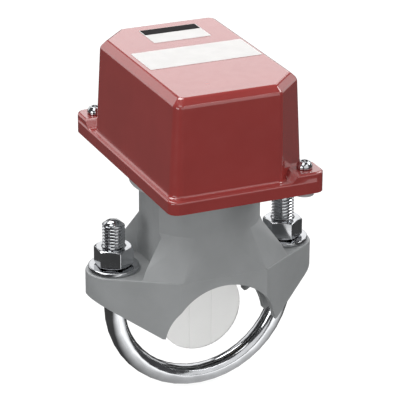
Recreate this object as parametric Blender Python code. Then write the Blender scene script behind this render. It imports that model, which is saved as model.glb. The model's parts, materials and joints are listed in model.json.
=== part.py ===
"""Vane type water flow detector for a two inch sprinkler pipe.

World axes: X runs from stud to stud across the pipe, Y along the pipe in the
direction of the flow, Z up. The origin lies on the pipe's centre line, midway
between the studs. All lengths are in metres.
"""

import math

import bmesh
import bpy
from mathutils import Matrix, Vector

# Fits
SEAT_GAP = 0.0003            # between faces that touch on the real part
RUNNING_GAP = 0.0003         # between a moving piece and its guide
SCREW_CLEARANCE = 0.0003     # screw shank to its hole
STUD_CLEARANCE = 0.0004      # thread to the washer and the saddle's hole

# Pipe and clamp saddle
PIPE_RADIUS = 0.03015        # outside of a two inch steel pipe
STUD_OFFSET = 0.01595        # stud's middle outside the pipe
PAD_RISE = 0.00485           # nut pads above the top of the pipe
SADDLE_LENGTH = 0.063        # along the pipe
SADDLE_FACE_WIDTH = 0.0462   # flat face at each end of the saddle
EAR_RADIUS = 0.0142
EAR_EDGE_HEIGHT = 0.0124     # side of the ear at its end
SADDLE_EDGE_DROP = 0.002     # the rough blank below the leg tips
LEG_TIP_HEIGHT = 0.0045      # leg tips above the pipe's centre line
LEG_TIP_WIDTH = 0.0013
SADDLE_WALL = 0.0045
PAD_THICKNESS = 0.008
RIB_OFFSET = 0.012           # middle of each inner rib from the stud line
RIB_THICKNESS = 0.004
STUD_BOSS_RADIUS = 0.0085
PAD_EDGE_RADIUS = 0.0008

# Neck
NECK_RADIUS = 0.0302
NECK_HEIGHT = 0.0413         # above the nut pads
SKIRT_HEIGHT = 0.021         # flare above the nut pads
POCKET_WALL = 0.0273         # wrench pocket's wall from the middle
POCKET_HALF_WIDTH = 0.016
POCKET_MOUTH_X = 0.0402      # where the wing of the skirt runs out on the rim
POCKET_MOUTH_Y = 0.0208
SKIRT_WING = 0.004           # wing's tip past the mouth
SKIRT_INSET = 0.0002         # skirt's foot inside the rim
NECK_SIDES = 56
NECK_CAVITY_RADIUS = 0.023
NECK_BORE_RADIUS = 0.022
SEAL_FLOOR_HEIGHT = 0.023    # floor of the upper bore above the nut pads
SEAL_FLOOR_THICKNESS = 0.007
COLLAR_RADIUS = 0.018
STEM_HOLE_RADIUS = 0.012

# Clamp
ROD_RADIUS = 0.0052
THREAD_RADIUS = 0.0057
STUD_TOP = 0.026             # end of the stud above the nut pads
THREAD_LENGTH = 0.044
NUT_ACROSS_FLATS = 0.0175
NUT_HEIGHT = 0.0095
NUT_TURN_LEFT = 28.0         # degrees of one corner from +X
NUT_TURN_RIGHT = 32.0
WASHER_RADIUS = 0.0128
WASHER_THICKNESS = 0.0019
GASKET_THICKNESS = 0.003
BOLT_DRAWN_UP = 0.0033       # with no pipe in it the bolt sits higher by this much

# Base plate
HUB_RADIUS = 0.0352
HUB_HEIGHT = 0.0093
PLATE_THICKNESS = 0.0025
CORNER_BOSS_RADIUS = 0.0049
CORNER_BOSS_DROP = 0.003
KNOCKOUT_RADIUS = 0.01115
KNOCKOUT_OFFSET = 0.0472     # from the middle along the housing
KNOCKOUT_GROOVE = 0.0008
KNOCKOUT_DEPTH = 0.0012
BASE_SCREW_CIRCLE = 0.026
BASE_SCREW_RADIUS = 0.002
BASE_SCREW_HEAD_RADIUS = 0.0036
BASE_SCREW_HEAD_HEIGHT = 0.003
BASE_SCREW_GRIP = 0.008      # length in the neck

# Cover
HOUSING_OFFSET_X = -0.0017   # housing's middle from the saddle's middle
COVER_TOP_X = 0.0315         # half width of the flat top
COVER_TOP_Y = 0.0528         # half length of the flat top
COVER_CHAMFER = 0.0138
FULL_CORNER_RADIUS = 0.003
CHAMFER_CORNER_RADIUS = 0.0016
COVER_ROOM = 0.014           # between the dial and the cover's inside
COVER_EDGE_RADIUS = 0.0033
COVER_DRAFT = 0.0028         # how far a side leans out on its way down
CHAMFER_DRAFT = 0.7          # extra width of a chamfer for each unit of draft
COVER_WALL = 0.0023
FLANGE_X = 0.0401            # half width
FLANGE_Y = 0.0626            # half length
FLANGE_CORNER = 0.005
FLANGE_SIDE = 0.0065
FLANGE_WALL = 0.0026
FLANGE_EDGE_RADIUS = 0.001
FOOT_RADIUS = 0.0014
EAR_RISE = 0.0039            # screw ear above the ledge
EAR_REACH_X = 0.0128         # flat of the ear from the flange's side
EAR_REACH_Y = 0.0128
EAR_RAMP = 0.007
EAR_INSET = 0.00015          # ear's side inside the flange's
SCREW_X = 0.0322             # cover screws from the housing's middle
SCREW_Y = 0.0547
COVER_SCREW_RADIUS = 0.002
COVER_SCREW_HEAD_RADIUS = 0.0039
COVER_SCREW_HEAD_HEIGHT = 0.0034
COVER_GASKET_THICKNESS = 0.001

# Vane and stem
VANE_RADIUS = 0.0224
VANE_HEIGHT = 0.0045         # vane's middle above the pipe's centre line
VANE_THICKNESS = 0.0015
VANE_TAB_WIDTH = 0.013
VANE_TAB_TOP = 0.034
VANE_TAB_CORNER = 0.002
VANE_FOLD = 0.0061           # fold line from the middle
FOLD_WIDTH = 0.0008
FOLD_DEPTH = 0.0004
STEM_RADIUS = 0.003
STEM_BALL_RADIUS = 0.006
STEM_REACH = 0.006           # stem's end above the plunger
BLADE_THICKNESS = 0.0016
BLADE_WIDTH = 0.0085
BLADE_BOTTOM = 0.0185
BLADE_TOP = 0.036
RIVET_RADIUS = 0.0014
RIVET_HEAD_RADIUS = 0.0024
RIVET_HEAD_HEIGHT = 0.0009
PIVOT_RISE = 0.0036          # pivot pin above the bracket's plate
PIVOT_PIN_RADIUS = 0.0015
PIVOT_PIN_HEAD_RADIUS = 0.0026
PIVOT_PIN_HEAD_HEIGHT = 0.0011
PIVOT_PIN_TAIL = 0.0015      # end of the pin outside the ear
SWING_DEGREES = 10.0

# Stem seal and pivot bracket
SEAL_FLANGE_THICKNESS = 0.002
SEAL_WALL = 0.0014
SEAL_LIP_ANGLE = 38.0        # below the ball's middle, in degrees
BRACKET_SHEET = 0.0018
BRACKET_RIM_RADIUS = 0.020
BRACKET_EAR_X = 0.0105       # inner face of each ear
BRACKET_EAR_WIDTH = 0.009
BRACKET_HOLE_RADIUS = 0.0088
BRACKET_SCREW_OFFSET = 0.0165
BRACKET_SCREW_RADIUS = 0.0015
BRACKET_SCREW_GRIP = 0.0045  # length in the seal's floor
SCREW_END_ROOM = 0.0005      # left past the end of a screw
BRACKET_SCREW_HEAD_RADIUS = 0.0028
BRACKET_SCREW_HEAD_HEIGHT = 0.0018
SPRING_WIRE_RADIUS = 0.0004
SPRING_TURNS = 3

# Retard unit
DAMPER_LIFT = 0.0008         # damper's body above the frame's foot
PLUNGER_RADIUS = 0.0024
PLUNGER_HEAD_RADIUS = 0.005
PLUNGER_HEAD_RIM = 0.0008
PLUNGER_DOME_RADIUS = 0.010
PLUNGER_LENGTH = 0.027
PLUNGER_END_ROOM = 0.0017    # left in the bore at full travel
RETARD_FRONT = 0.023         # from the stem's line
RETARD_LENGTH = 0.022
RETARD_RADIUS = 0.013
RETARD_STEP_RADIUS = 0.009
RETARD_STEP = 0.002
DIAL_RADIUS = 0.0095
DIAL_HEIGHT = 0.0055
FLUTE_DEPTH = 0.0004
DIAL_SHAFT_RADIUS = 0.0022
DIAL_SHAFT_DEPTH = 0.006
DIAL_SEAT_RADIUS = 0.0075
DIAL_LIFT = 0.0006           # dial's seat above the damper's body
RETARD_SCREW_X = 0.007
RETARD_SCREW_GRIP = 0.005    # length in the damper's back
YOKE_Y = 0.0080              # front of the trip yoke from the stem's line
YOKE_SHEET = 0.0015
YOKE_HALF_WIDTH = 0.0235
YOKE_BAR_RISE = 0.011        # bar above the plunger
YOKE_BAR_WIDTH = 0.004
YOKE_STEM_WIDTH = 0.010

# Snap switches
SWITCH_X = 0.0165            # inner face from the middle
SWITCH_WIDTH = 0.0103
SWITCH_DEPTH = 0.016
SWITCH_HEIGHT = 0.0278
SWITCH_FACE = 0.020          # front face from the stem's line
SWITCH_LIFT = 0.0051         # above the plate
LEVER_WIDTH = 0.005
LEVER_SHEET = 0.0005
LEVER_LENGTH = 0.026
LEVER_PIVOT_RISE = 0.0035    # above the switch's bottom
LEVER_PIVOT_OUT = 0.001
LEVER_ROLL_RADIUS = 0.0006
BUTTON_RISE = 0.005          # above the lever's pivot
BUTTON_RADIUS = 0.0014
BUTTON_DEPTH = 0.005
TERMINAL_PITCH = 0.0088
TERMINAL_HEAD_RADIUS = 0.0027
TERMINAL_HEAD_HEIGHT = 0.0022
TERMINAL_SHANK_RADIUS = 0.0013
TERMINAL_SHANK_LENGTH = 0.004

# Mechanism frame
FRAME_SHEET = 0.0015
FRAME_FRONT = 0.023          # edge of its foot from the stem's line
FRAME_BACK_WIDTH = 0.024
FRAME_BACK_RISE = 0.011      # above the plunger
FRAME_SIDE_RISE = 0.0052     # above the switch screw
FRAME_SCREW_X = 0.013
FRAME_SCREW_Y = 0.028
SWITCH_SCREW_RISE = 0.020    # above the switch's bottom
SWITCH_SCREW_RADIUS = 0.0014
SWITCH_SCREW_HEAD_RADIUS = 0.0026
SWITCH_SCREW_HEAD_HEIGHT = 0.0016
GROUND_SCREW_Y = 0.030
GROUND_SCREW_HEAD_RADIUS = 0.0042
GROUND_SCREW_HEAD_HEIGHT = 0.0026

# Levels and places that follow from the sizes above
STUD_X = PIPE_RADIUS + STUD_OFFSET
PAD_HEIGHT = PIPE_RADIUS + PAD_RISE
NECK_TOP = PAD_HEIGHT + NECK_HEIGHT
HUB_BOTTOM = NECK_TOP + SEAT_GAP
PLATE_BOTTOM = HUB_BOTTOM + HUB_HEIGHT
PLATE_TOP = PLATE_BOTTOM + PLATE_THICKNESS
COVER_BOTTOM = PLATE_BOTTOM - 0.0002
LEDGE = COVER_BOTTOM + FLANGE_SIDE
COVER_STEP = PLATE_TOP + COVER_GASKET_THICKNESS + 2 * SEAT_GAP
EAR_TOP = LEDGE + EAR_RISE
SEAL_FLOOR = PAD_HEIGHT + SEAL_FLOOR_HEIGHT
FLOOR_UNDERSIDE = SEAL_FLOOR - SEAL_FLOOR_THICKNESS
SEAL_TOP = SEAL_FLOOR + SEAT_GAP + SEAL_FLANGE_THICKNESS
BRACKET_BOTTOM = SEAL_TOP + SEAT_GAP
BRACKET_TOP = BRACKET_BOTTOM + BRACKET_SHEET
PIVOT_HEIGHT = BRACKET_TOP + PIVOT_RISE
PLUNGER_HEIGHT = PLATE_TOP + SEAT_GAP + FRAME_SHEET + DAMPER_LIFT + RETARD_RADIUS
STEM_TOP = PLUNGER_HEIGHT + STEM_REACH
YOKE_BAR_LOW = PLUNGER_HEIGHT + YOKE_BAR_RISE
YOKE_BAR_HIGH = YOKE_BAR_LOW + YOKE_BAR_WIDTH
SWITCH_BOTTOM = PLATE_TOP + SWITCH_LIFT
DIAL_MIDDLE = RETARD_FRONT + RETARD_LENGTH / 2
DIAL_SEAT = PLUNGER_HEIGHT + RETARD_RADIUS + DIAL_LIFT
COVER_TOP = DIAL_SEAT + RUNNING_GAP + DIAL_HEIGHT + COVER_ROOM + COVER_WALL
SWING = math.radians(SWING_DEGREES)
HEAD_REACH = STEM_RADIUS + RUNNING_GAP + PLUNGER_DOME_RADIUS
PLUNGER_TRAVEL = ((PLUNGER_HEIGHT - PIVOT_HEIGHT) * math.tan(SWING) + 0.00005
                  + HEAD_REACH * (1 / math.cos(SWING) - 1))
PLUNGER_GUIDE = (STEM_RADIUS + RUNNING_GAP + PLUNGER_LENGTH + PLUNGER_TRAVEL
                 + PLUNGER_END_ROOM - RETARD_FRONT)
SADDLE_RUN = STUD_X - SADDLE_FACE_WIDTH / 2
SADDLE_LEAN = (math.atan2(SADDLE_LENGTH / 2, SADDLE_RUN)
               - math.asin(EAR_RADIUS / math.hypot(SADDLE_RUN, SADDLE_LENGTH / 2)))
BEND_HEIGHT = STUD_X - PIPE_RADIUS - ROD_RADIUS + BOLT_DRAWN_UP
RIVET_HEIGHTS = (BLADE_BOTTOM + 0.0035, BLADE_BOTTOM + 0.0105)


def finish(name, colour, roughness, metallic):
    """Return a plain material with a part's colour and gloss."""
    material = bpy.data.materials.new(name)
    material.use_nodes = True
    shader = material.node_tree.nodes["Principled BSDF"]
    shader.inputs["Base Color"].default_value = (*colour, 1.0)
    shader.inputs["Roughness"].default_value = roughness
    shader.inputs["Metallic"].default_value = metallic
    material.diffuse_color = (*colour, 1.0)
    return material


def make(name, mesh_data, material=None, smooth=True):
    """Turn a bmesh into a named object with outward faces."""
    bmesh.ops.recalc_face_normals(mesh_data, faces=mesh_data.faces)
    if mesh_data.calc_volume(signed=True) < 0:
        bmesh.ops.reverse_faces(mesh_data, faces=mesh_data.faces)
    mesh = bpy.data.meshes.new(name)
    mesh_data.to_mesh(mesh)
    mesh_data.free()
    piece = bpy.data.objects.new(name, mesh)
    bpy.context.scene.collection.objects.link(piece)
    if material is not None:
        mesh.materials.append(material)
    if smooth:
        mesh.shade_smooth()
        mesh.set_sharp_from_angle(angle=math.radians(35))
    return piece


def combine(piece, tool, operation):
    """Cut, join or intersect a piece with a guide solid that is then left out."""
    tool.hide_render = True
    tool.display_type = "WIRE"
    step = piece.modifiers.new(tool.name, "BOOLEAN")
    step.solver = "EXACT"
    step.operation = operation
    step.object = tool
    return piece


def cut(piece, *tools):
    """Cut each guide solid out of a piece."""
    for tool in tools:
        combine(piece, tool, "DIFFERENCE")


def add(piece, *tools):
    """Join each guide solid to a piece."""
    for tool in tools:
        combine(piece, tool, "UNION")


def keep(piece, tool):
    """Keep only what a piece shares with a guide solid."""
    combine(piece, tool, "INTERSECT")


def arc(centre, radius, start, end, steps):
    """Points of an arc, angles in degrees, both ends included."""
    points = []
    for index in range(steps + 1):
        angle = math.radians(start + (end - start) * index / steps)
        points.append((centre[0] + radius * math.cos(angle), centre[1] + radius * math.sin(angle)))
    return points


def circle(centre, radius, steps):
    """Points of a full circle, the first not repeated."""
    return arc(centre, radius, 0, 360, steps)[:-1]


def softened(corners, radii, steps):
    """Outline of a convex polygon, anticlockwise, with each corner rounded."""
    outline = []
    count = len(corners)
    for index, corner in enumerate(corners):
        here = Vector(corner)
        before = (Vector(corners[index - 1]) - here).normalized()
        after = (Vector(corners[(index + 1) % count]) - here).normalized()
        half_angle = before.angle(after) / 2
        middle = (before + after).normalized()
        radius = radii[index]
        centre = here + middle * radius / math.sin(half_angle)
        first = here + before * radius / math.tan(half_angle) - centre
        sweep = math.pi - 2 * half_angle
        for step in range(steps + 1):
            turned_point = Matrix.Rotation(sweep * step / steps, 2) @ first
            outline.append(tuple(centre + turned_point))
    return outline


def prism(outline, low, high):
    """Extrude an outline in the XY plane from one height to another."""
    shape = bmesh.new()
    corners = [shape.verts.new((x, y, low)) for x, y in outline]
    face = shape.faces.new(corners)
    raised = bmesh.ops.extrude_face_region(shape, geom=[face])
    moved = [item for item in raised["geom"] if isinstance(item, bmesh.types.BMVert)]
    bmesh.ops.translate(shape, verts=moved, vec=(0, 0, high - low))
    return shape


def block(low, high):
    """A box between two opposite corners."""
    outline = [(low[0], low[1]), (high[0], low[1]), (high[0], high[1]), (low[0], high[1])]
    return prism(outline, low[2], high[2])


def turned(profile, steps):
    """Spin a closed profile of (radius, height) points about Z."""
    shape = bmesh.new()
    corners = [shape.verts.new((radius, 0, height)) for radius, height in profile]
    edges = []
    for index, corner in enumerate(corners):
        following = corners[(index + 1) % len(corners)]
        if profile[index][0] > 0 or profile[(index + 1) % len(corners)][0] > 0:
            edges.append(shape.edges.new((corner, following)))
    bmesh.ops.spin(shape, geom=corners + edges, cent=(0, 0, 0), axis=(0, 0, 1),
                   angle=2 * math.pi, steps=steps, use_merge=True)
    bmesh.ops.remove_doubles(shape, verts=shape.verts, dist=1e-6)
    return shape


def loft(rings):
    """Bridge closed rings of equal length, low to high, and cap both ends."""
    shape = bmesh.new()
    loops = [[shape.verts.new(point) for point in ring] for ring in rings]
    count = len(loops[0])
    for lower, upper in zip(loops, loops[1:]):
        for index in range(count):
            following = (index + 1) % count
            shape.faces.new((lower[index], lower[following], upper[following], upper[index]))
    shape.faces.new(list(reversed(loops[0])))
    shape.faces.new(loops[-1])
    return shape


def placed(shape, *moves):
    """Apply matrices to a bmesh, the last one first."""
    for move in reversed(moves):
        shape.transform(move)
    return shape


def at(x, y, z):
    """A move to a place."""
    return Matrix.Translation((x, y, z))


def turn(degrees, axis):
    """A turn about a world axis."""
    return Matrix.Rotation(math.radians(degrees), 4, axis)


def rod(centre, radius, low, high, steps=24):
    """An upright round bar."""
    return prism(circle(centre, radius, steps), low, high)


def crosswise_pipe(radius, reach, steps=96):
    """A round bar along Y on the pipe's centre line."""
    return placed(prism(circle((0, 0), radius, steps), -reach, reach), turn(90, "X"))


def hang(piece, place):
    """Put a moving piece's origin on its joint."""
    piece.data.transform(Matrix.Translation(-Vector(place)))
    piece.location = place


def screw(head_radius, head_height, shank_radius, shank_length):
    """A screw standing with its head's seat at height 0."""
    edge = head_height * 0.25
    profile = [(0, -shank_length), (shank_radius, -shank_length), (shank_radius, 0), (head_radius, 0),
               (head_radius, head_height - edge), (head_radius - edge, head_height), (0, head_height)]
    return turned(profile, 12)


def slotted(piece, head_radius, head_height, move):
    """Cut a driving slot in a screw head that stands at the given place."""
    width = head_radius * 0.28
    depth = head_height * 0.45
    tool = placed(block((-2 * head_radius, -width / 2, head_height - depth),
                        (2 * head_radius, width / 2, 2 * head_height)), move)
    cut(piece, make(piece.name + ".slot", tool))


def saddle_outline(inset=0.0):
    """The saddle from above: two end faces, four straight flanks and two round ears."""
    half_face = SADDLE_FACE_WIDTH / 2
    half_length = SADDLE_LENGTH / 2
    sweep = 90 - math.degrees(SADDLE_LEAN)
    corner_x = half_face - inset * math.tan(SADDLE_LEAN / 2)
    corner_y = half_length - inset
    right_ear = arc((STUD_X, 0), EAR_RADIUS - inset, -sweep, sweep, 12)
    left_ear = arc((-STUD_X, 0), EAR_RADIUS - inset, 180 - sweep, 180 + sweep, 12)
    return ([(-corner_x, -corner_y), (corner_x, -corner_y)] + right_ear
            + [(corner_x, corner_y), (-corner_x, corner_y)] + left_ear)


def flank_point(x):
    """Distance from the stud line of the saddle's flank at a distance x from the middle."""
    return SADDLE_LENGTH / 2 - (x - SADDLE_FACE_WIDTH / 2) * math.tan(SADDLE_LEAN)


def level(outline, height):
    """Lift an outline to a height."""
    return [(x, y, height) for x, y in outline]


def saddle_skirt():
    """The flare from the round neck to the rim, with a wrench pocket at each stud."""
    shape = bmesh.new()
    rim_height = PAD_HEIGHT - 1.5 * PAD_EDGE_RADIUS
    wing_x = POCKET_MOUTH_X + SKIRT_WING
    face_x = SADDLE_FACE_WIDTH / 2 - SKIRT_INSET
    for side_x in (-1, 1):
        for side_y in (-1, 1):
            shape.verts.new((side_x * face_x, side_y * (SADDLE_LENGTH / 2 - SKIRT_INSET), rim_height))
            shape.verts.new((side_x * wing_x, side_y * (flank_point(wing_x) - SKIRT_INSET), rim_height))
    for x, y in circle((0, 0), NECK_RADIUS, NECK_SIDES):
        shape.verts.new((x, y, PAD_HEIGHT + SKIRT_HEIGHT))
    bmesh.ops.convex_hull(shape, input=shape.verts)
    skirt = make("skirt", shape)
    neck = rod((0, 0), NECK_RADIUS, PAD_HEIGHT + SKIRT_HEIGHT / 2, NECK_TOP, NECK_SIDES)
    add(skirt, make("neck", neck))
    slope = (POCKET_MOUTH_Y - POCKET_HALF_WIDTH) / (POCKET_MOUTH_X - POCKET_WALL)
    reach = STUD_X + 2 * EAR_RADIUS
    mouth = POCKET_HALF_WIDTH + slope * (reach - POCKET_WALL)
    for side in (-1, 1):
        pocket = [(side * POCKET_WALL, -side * POCKET_HALF_WIDTH), (side * reach, -side * mouth),
                  (side * reach, side * mouth), (side * POCKET_WALL, side * POCKET_HALF_WIDTH)]
        cut(skirt, make("wrench_pocket", prism(pocket, PAD_HEIGHT - PAD_EDGE_RADIUS / 2, 2 * NECK_TOP)))
    return skirt


def saddle_casting(material):
    """One grey casting: pipe saddle with ears, ribbed underside, skirt and neck."""
    edge = PAD_EDGE_RADIUS
    rings = [level(saddle_outline(), LEG_TIP_HEIGHT - SADDLE_EDGE_DROP),
             level(saddle_outline(), PAD_HEIGHT - edge)]
    for x, y in arc((0, PAD_HEIGHT - edge), edge, 45, 90, 1):
        rings.append(level(saddle_outline(edge - x), y))
    casting = make("saddle_casting", loft(rings), material)
    tip_x = math.sqrt(PIPE_RADIUS ** 2 - LEG_TIP_HEIGHT ** 2) + LEG_TIP_WIDTH
    end_x = STUD_X + EAR_RADIUS
    ear_low = PAD_HEIGHT - EAR_EDGE_HEIGHT
    past = end_x + EAR_RADIUS
    legs = [(-tip_x, LEG_TIP_HEIGHT), (tip_x, LEG_TIP_HEIGHT), (end_x, ear_low),
            (past, (ear_low + PAD_HEIGHT) / 2), (past, 2 * PAD_HEIGHT),
            (-past, 2 * PAD_HEIGHT), (-past, (ear_low + PAD_HEIGHT) / 2), (-end_x, ear_low)]
    keep(casting, make("leg_profile", placed(prism(legs, -SADDLE_LENGTH, SADDLE_LENGTH), turn(90, "X"))))
    add(casting, saddle_skirt())
    ceiling = PAD_HEIGHT - PAD_THICKNESS
    inner_half = RIB_OFFSET - RIB_THICKNESS / 2
    outer_half = RIB_OFFSET + RIB_THICKNESS / 2
    boss_x = STUD_X - STUD_BOSS_RADIUS
    middle = block((-boss_x, -inner_half, -0.01), (boss_x, inner_half, ceiling))
    cut(casting, make("middle_channel", middle))
    for side in (-1, 1):
        channel = make("outer_channel", prism(saddle_outline(SADDLE_WALL), -0.01, ceiling))
        near, far = sorted((side * outer_half, side * SADDLE_LENGTH))
        half = block((-2 * STUD_X, near, -0.02), (2 * STUD_X, far, 2 * PAD_HEIGHT))
        keep(channel, make("channel_half", half))
        cut(casting, channel)
    cavity = rod((0, 0), NECK_CAVITY_RADIUS, ceiling - 0.02, FLOOR_UNDERSIDE, 40)
    cut(casting, make("neck_cavity", cavity))
    collar = make("collar", rod((0, 0), COLLAR_RADIUS, ceiling - 0.012, FLOOR_UNDERSIDE + 0.001, 36))
    gasket_seat = PIPE_RADIUS + GASKET_THICKNESS + 2 * SEAT_GAP
    cut(collar, make("gasket_seat", crosswise_pipe(gasket_seat, SADDLE_LENGTH, 80)))
    add(casting, collar)
    cut(casting, make("pipe", crosswise_pipe(PIPE_RADIUS, SADDLE_LENGTH, 80)))
    cut(casting, make("stem_hole", rod((0, 0), STEM_HOLE_RADIUS, 0.0, SEAL_FLOOR + 0.01, 24)))
    cut(casting, make("neck_bore", rod((0, 0), NECK_BORE_RADIUS, SEAL_FLOOR, NECK_TOP + 0.01, 40)))
    for side in (-1, 1):
        hole = rod((side * STUD_X, 0), THREAD_RADIUS + STUD_CLEARANCE, -0.02, PAD_HEIGHT + 0.02, 24)
        cut(casting, make("stud_hole", hole))
        hole = rod((0, side * BRACKET_SCREW_OFFSET), BRACKET_SCREW_RADIUS + SCREW_CLEARANCE,
                   SEAL_FLOOR - BRACKET_SCREW_GRIP - SCREW_END_ROOM, SEAL_FLOOR + 0.01, 12)
        cut(casting, make("bracket_screw_hole", hole))
    for x, y in base_screw_places():
        hole = rod((x, y), BASE_SCREW_RADIUS + SCREW_CLEARANCE,
                   NECK_TOP - BASE_SCREW_GRIP - 2 * SCREW_END_ROOM, NECK_TOP + 0.01, 12)
        cut(casting, make("base_screw_hole", hole))
    return casting


def base_screw_places():
    """Four screws on a circle, halfway between the axes and clear of the wrench pockets."""
    offset = BASE_SCREW_CIRCLE * math.sqrt(0.5)
    return [(offset, offset), (-offset, offset), (-offset, -offset), (offset, -offset)]


def u_bolt(material):
    """A bent rod whose two ends carry rolled threads thicker than the shank."""
    top = PAD_HEIGHT + STUD_TOP
    thread_start = top - THREAD_LENGTH
    dome = THREAD_RADIUS * 0.45
    leg = [(top, 0.35 * THREAD_RADIUS), (top - dome * 0.35, 0.75 * THREAD_RADIUS),
           (top - dome, THREAD_RADIUS), (thread_start, THREAD_RADIUS), (thread_start - 0.0008, ROD_RADIUS)]
    stations = [((-STUD_X, height), (0, -1), radius) for height, radius in leg]
    bends = 22
    for index in range(bends + 1):
        angle = math.pi + math.pi * index / bends
        place = (STUD_X * math.cos(angle), BEND_HEIGHT + STUD_X * math.sin(angle))
        stations.append((place, (-math.sin(angle), math.cos(angle)), ROD_RADIUS))
    stations += [((STUD_X, height), (0, 1), radius) for height, radius in reversed(leg)]
    rings = []
    for (x, z), (along_x, along_z), radius in stations:
        across = Vector((along_z, 0, -along_x))
        ring = []
        for step in range(18):
            angle = 2 * math.pi * step / 18
            ring.append(Vector((x, 0, z)) + across * radius * math.cos(angle)
                        + Vector((0, 1, 0)) * radius * math.sin(angle))
        rings.append(ring)
    return make("u_bolt", loft(rings), material)


def hex_nut(name, side, turn_degrees, material):
    """A chamfered hexagon nut on its washer."""
    seat = PAD_HEIGHT + WASHER_THICKNESS + 2 * SEAT_GAP
    corner = NUT_ACROSS_FLATS / math.sqrt(3)
    outline = arc((0, 0), corner, turn_degrees, turn_degrees + 360, 6)[:-1]
    body = placed(prism(outline, seat, seat + NUT_HEIGHT), at(side * STUD_X, 0, 0))
    nut = make(name, body, material, False)
    drop = (corner - NUT_ACROSS_FLATS / 2) * math.tan(math.radians(30))
    flat = NUT_ACROSS_FLATS / 2 * 0.97
    profile = [(0, -0.001), (flat, 0), (corner + 0.0002, drop), (corner + 0.0002, NUT_HEIGHT - drop),
               (flat, NUT_HEIGHT), (0, NUT_HEIGHT + 0.001)]
    keep(nut, make(name + ".chamfer", placed(turned(profile, 30), at(side * STUD_X, 0, seat))))
    hole = rod((side * STUD_X, 0), THREAD_RADIUS + SEAT_GAP, seat - 0.01, seat + NUT_HEIGHT + 0.01, 24)
    cut(nut, make(name + ".thread", hole))
    return nut


def washer(name, side, material):
    """A plain round washer."""
    seat = PAD_HEIGHT + SEAT_GAP
    inner = THREAD_RADIUS + STUD_CLEARANCE
    outer = WASHER_RADIUS
    edge = WASHER_THICKNESS / 6
    top = WASHER_THICKNESS
    profile = [(inner, 0), (outer, 0), (outer, top - edge), (outer - edge, top), (inner, top)]
    return make(name, placed(turned(profile, 32), at(side * STUD_X, 0, seat)), material)


def pipe_gasket(material):
    """A rubber ring that seals the hole in the pipe and follows its curve."""
    blank = rod((0, 0), COLLAR_RADIUS, PIPE_RADIUS / 4, 2 * PIPE_RADIUS, 36)
    gasket = make("pipe_gasket", blank, material)
    outside = PIPE_RADIUS + GASKET_THICKNESS + SEAT_GAP
    keep(gasket, make("gasket_outside", crosswise_pipe(outside, SADDLE_LENGTH, 80)))
    cut(gasket, make("gasket_inside", crosswise_pipe(PIPE_RADIUS + SEAT_GAP, 2 * SADDLE_LENGTH, 80)))
    cut(gasket, make("gasket_hole", rod((0, 0), STEM_HOLE_RADIUS, 0.0, 3 * PIPE_RADIUS, 24)))
    return gasket


def stem_seal(material):
    """A rubber cup, clamped at its rim, whose lip hugs the ball of the stem."""
    low = SEAL_FLOOR + SEAT_GAP
    high = SEAL_TOP
    reach = STEM_BALL_RADIUS + RUNNING_GAP
    lip_low = math.radians(SEAL_LIP_ANGLE)
    lip_high = math.radians(SEAL_LIP_ANGLE - 8)
    rim = BRACKET_RIM_RADIUS
    shoulder = BRACKET_HOLE_RADIUS - 2 * SEAT_GAP
    profile = [(shoulder - SEAL_WALL, low), (rim, low), (rim, high), (shoulder, high),
               (reach * math.cos(lip_high), PIVOT_HEIGHT - reach * math.sin(lip_high)),
               (reach * math.cos(lip_low), PIVOT_HEIGHT - reach * math.sin(lip_low))]
    seal = make("stem_seal", turned(profile, 28), material)
    for side in (-1, 1):
        hole = rod((0, side * BRACKET_SCREW_OFFSET), BRACKET_SCREW_RADIUS + SCREW_CLEARANCE,
                   low - 0.005, high + 0.005, 12)
        cut(seal, make("seal_screw_way", hole))
    return seal


def pivot_bracket(material):
    """A pressed ring with two ears that clamps the seal and carries the pivot pin."""
    blank = rod((0, 0), BRACKET_RIM_RADIUS, BRACKET_BOTTOM, BRACKET_TOP, 28)
    bracket = make("pivot_bracket", blank, material)
    half = BRACKET_EAR_WIDTH / 2
    foot = (BRACKET_BOTTOM + BRACKET_TOP) / 2
    outline = [(-half, foot), (half, foot)] + arc((0, PIVOT_HEIGHT), half, 0, 180, 8)
    for side in (-1, 1):
        low = min(side * BRACKET_EAR_X, side * (BRACKET_EAR_X + BRACKET_SHEET))
        ear = prism(outline, low, low + BRACKET_SHEET)
        add(bracket, make("bracket_ear", placed(ear, turn(90, "Z"), turn(90, "X"))))
    under = BRACKET_BOTTOM - 0.005
    hole = rod((0, 0), BRACKET_HOLE_RADIUS, under, BRACKET_TOP + 0.01, 24)
    cut(bracket, make("bracket_hole", hole))
    pin_hole = rod((0, 0), PIVOT_PIN_RADIUS + RUNNING_GAP, -2 * BRACKET_EAR_X, 2 * BRACKET_EAR_X, 12)
    cut(bracket, make("pin_hole", placed(pin_hole, at(0, 0, PIVOT_HEIGHT), turn(90, "Y"))))
    for side in (-1, 1):
        hole = rod((0, side * BRACKET_SCREW_OFFSET), BRACKET_SCREW_RADIUS + SCREW_CLEARANCE,
                   under, BRACKET_TOP + 0.01, 12)
        cut(bracket, make("bracket_screw_way", hole))
    return bracket


def pivot_pin(material):
    """A headed pin through both ears and the ball of the stem."""
    outer = BRACKET_EAR_X + BRACKET_SHEET
    seat = outer + SEAT_GAP
    end = -outer - PIVOT_PIN_TAIL
    edge = PIVOT_PIN_RADIUS / 5
    head = PIVOT_PIN_HEAD_RADIUS
    top = seat + PIVOT_PIN_HEAD_HEIGHT
    profile = [(0, end), (PIVOT_PIN_RADIUS - edge, end), (PIVOT_PIN_RADIUS, end + edge),
               (PIVOT_PIN_RADIUS, seat), (head, seat), (head, top - edge), (head - edge, top), (0, top)]
    pin = placed(turned(profile, 12), at(0, 0, PIVOT_HEIGHT), turn(90, "Y"))
    return make("pivot_pin", pin, material)


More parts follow.
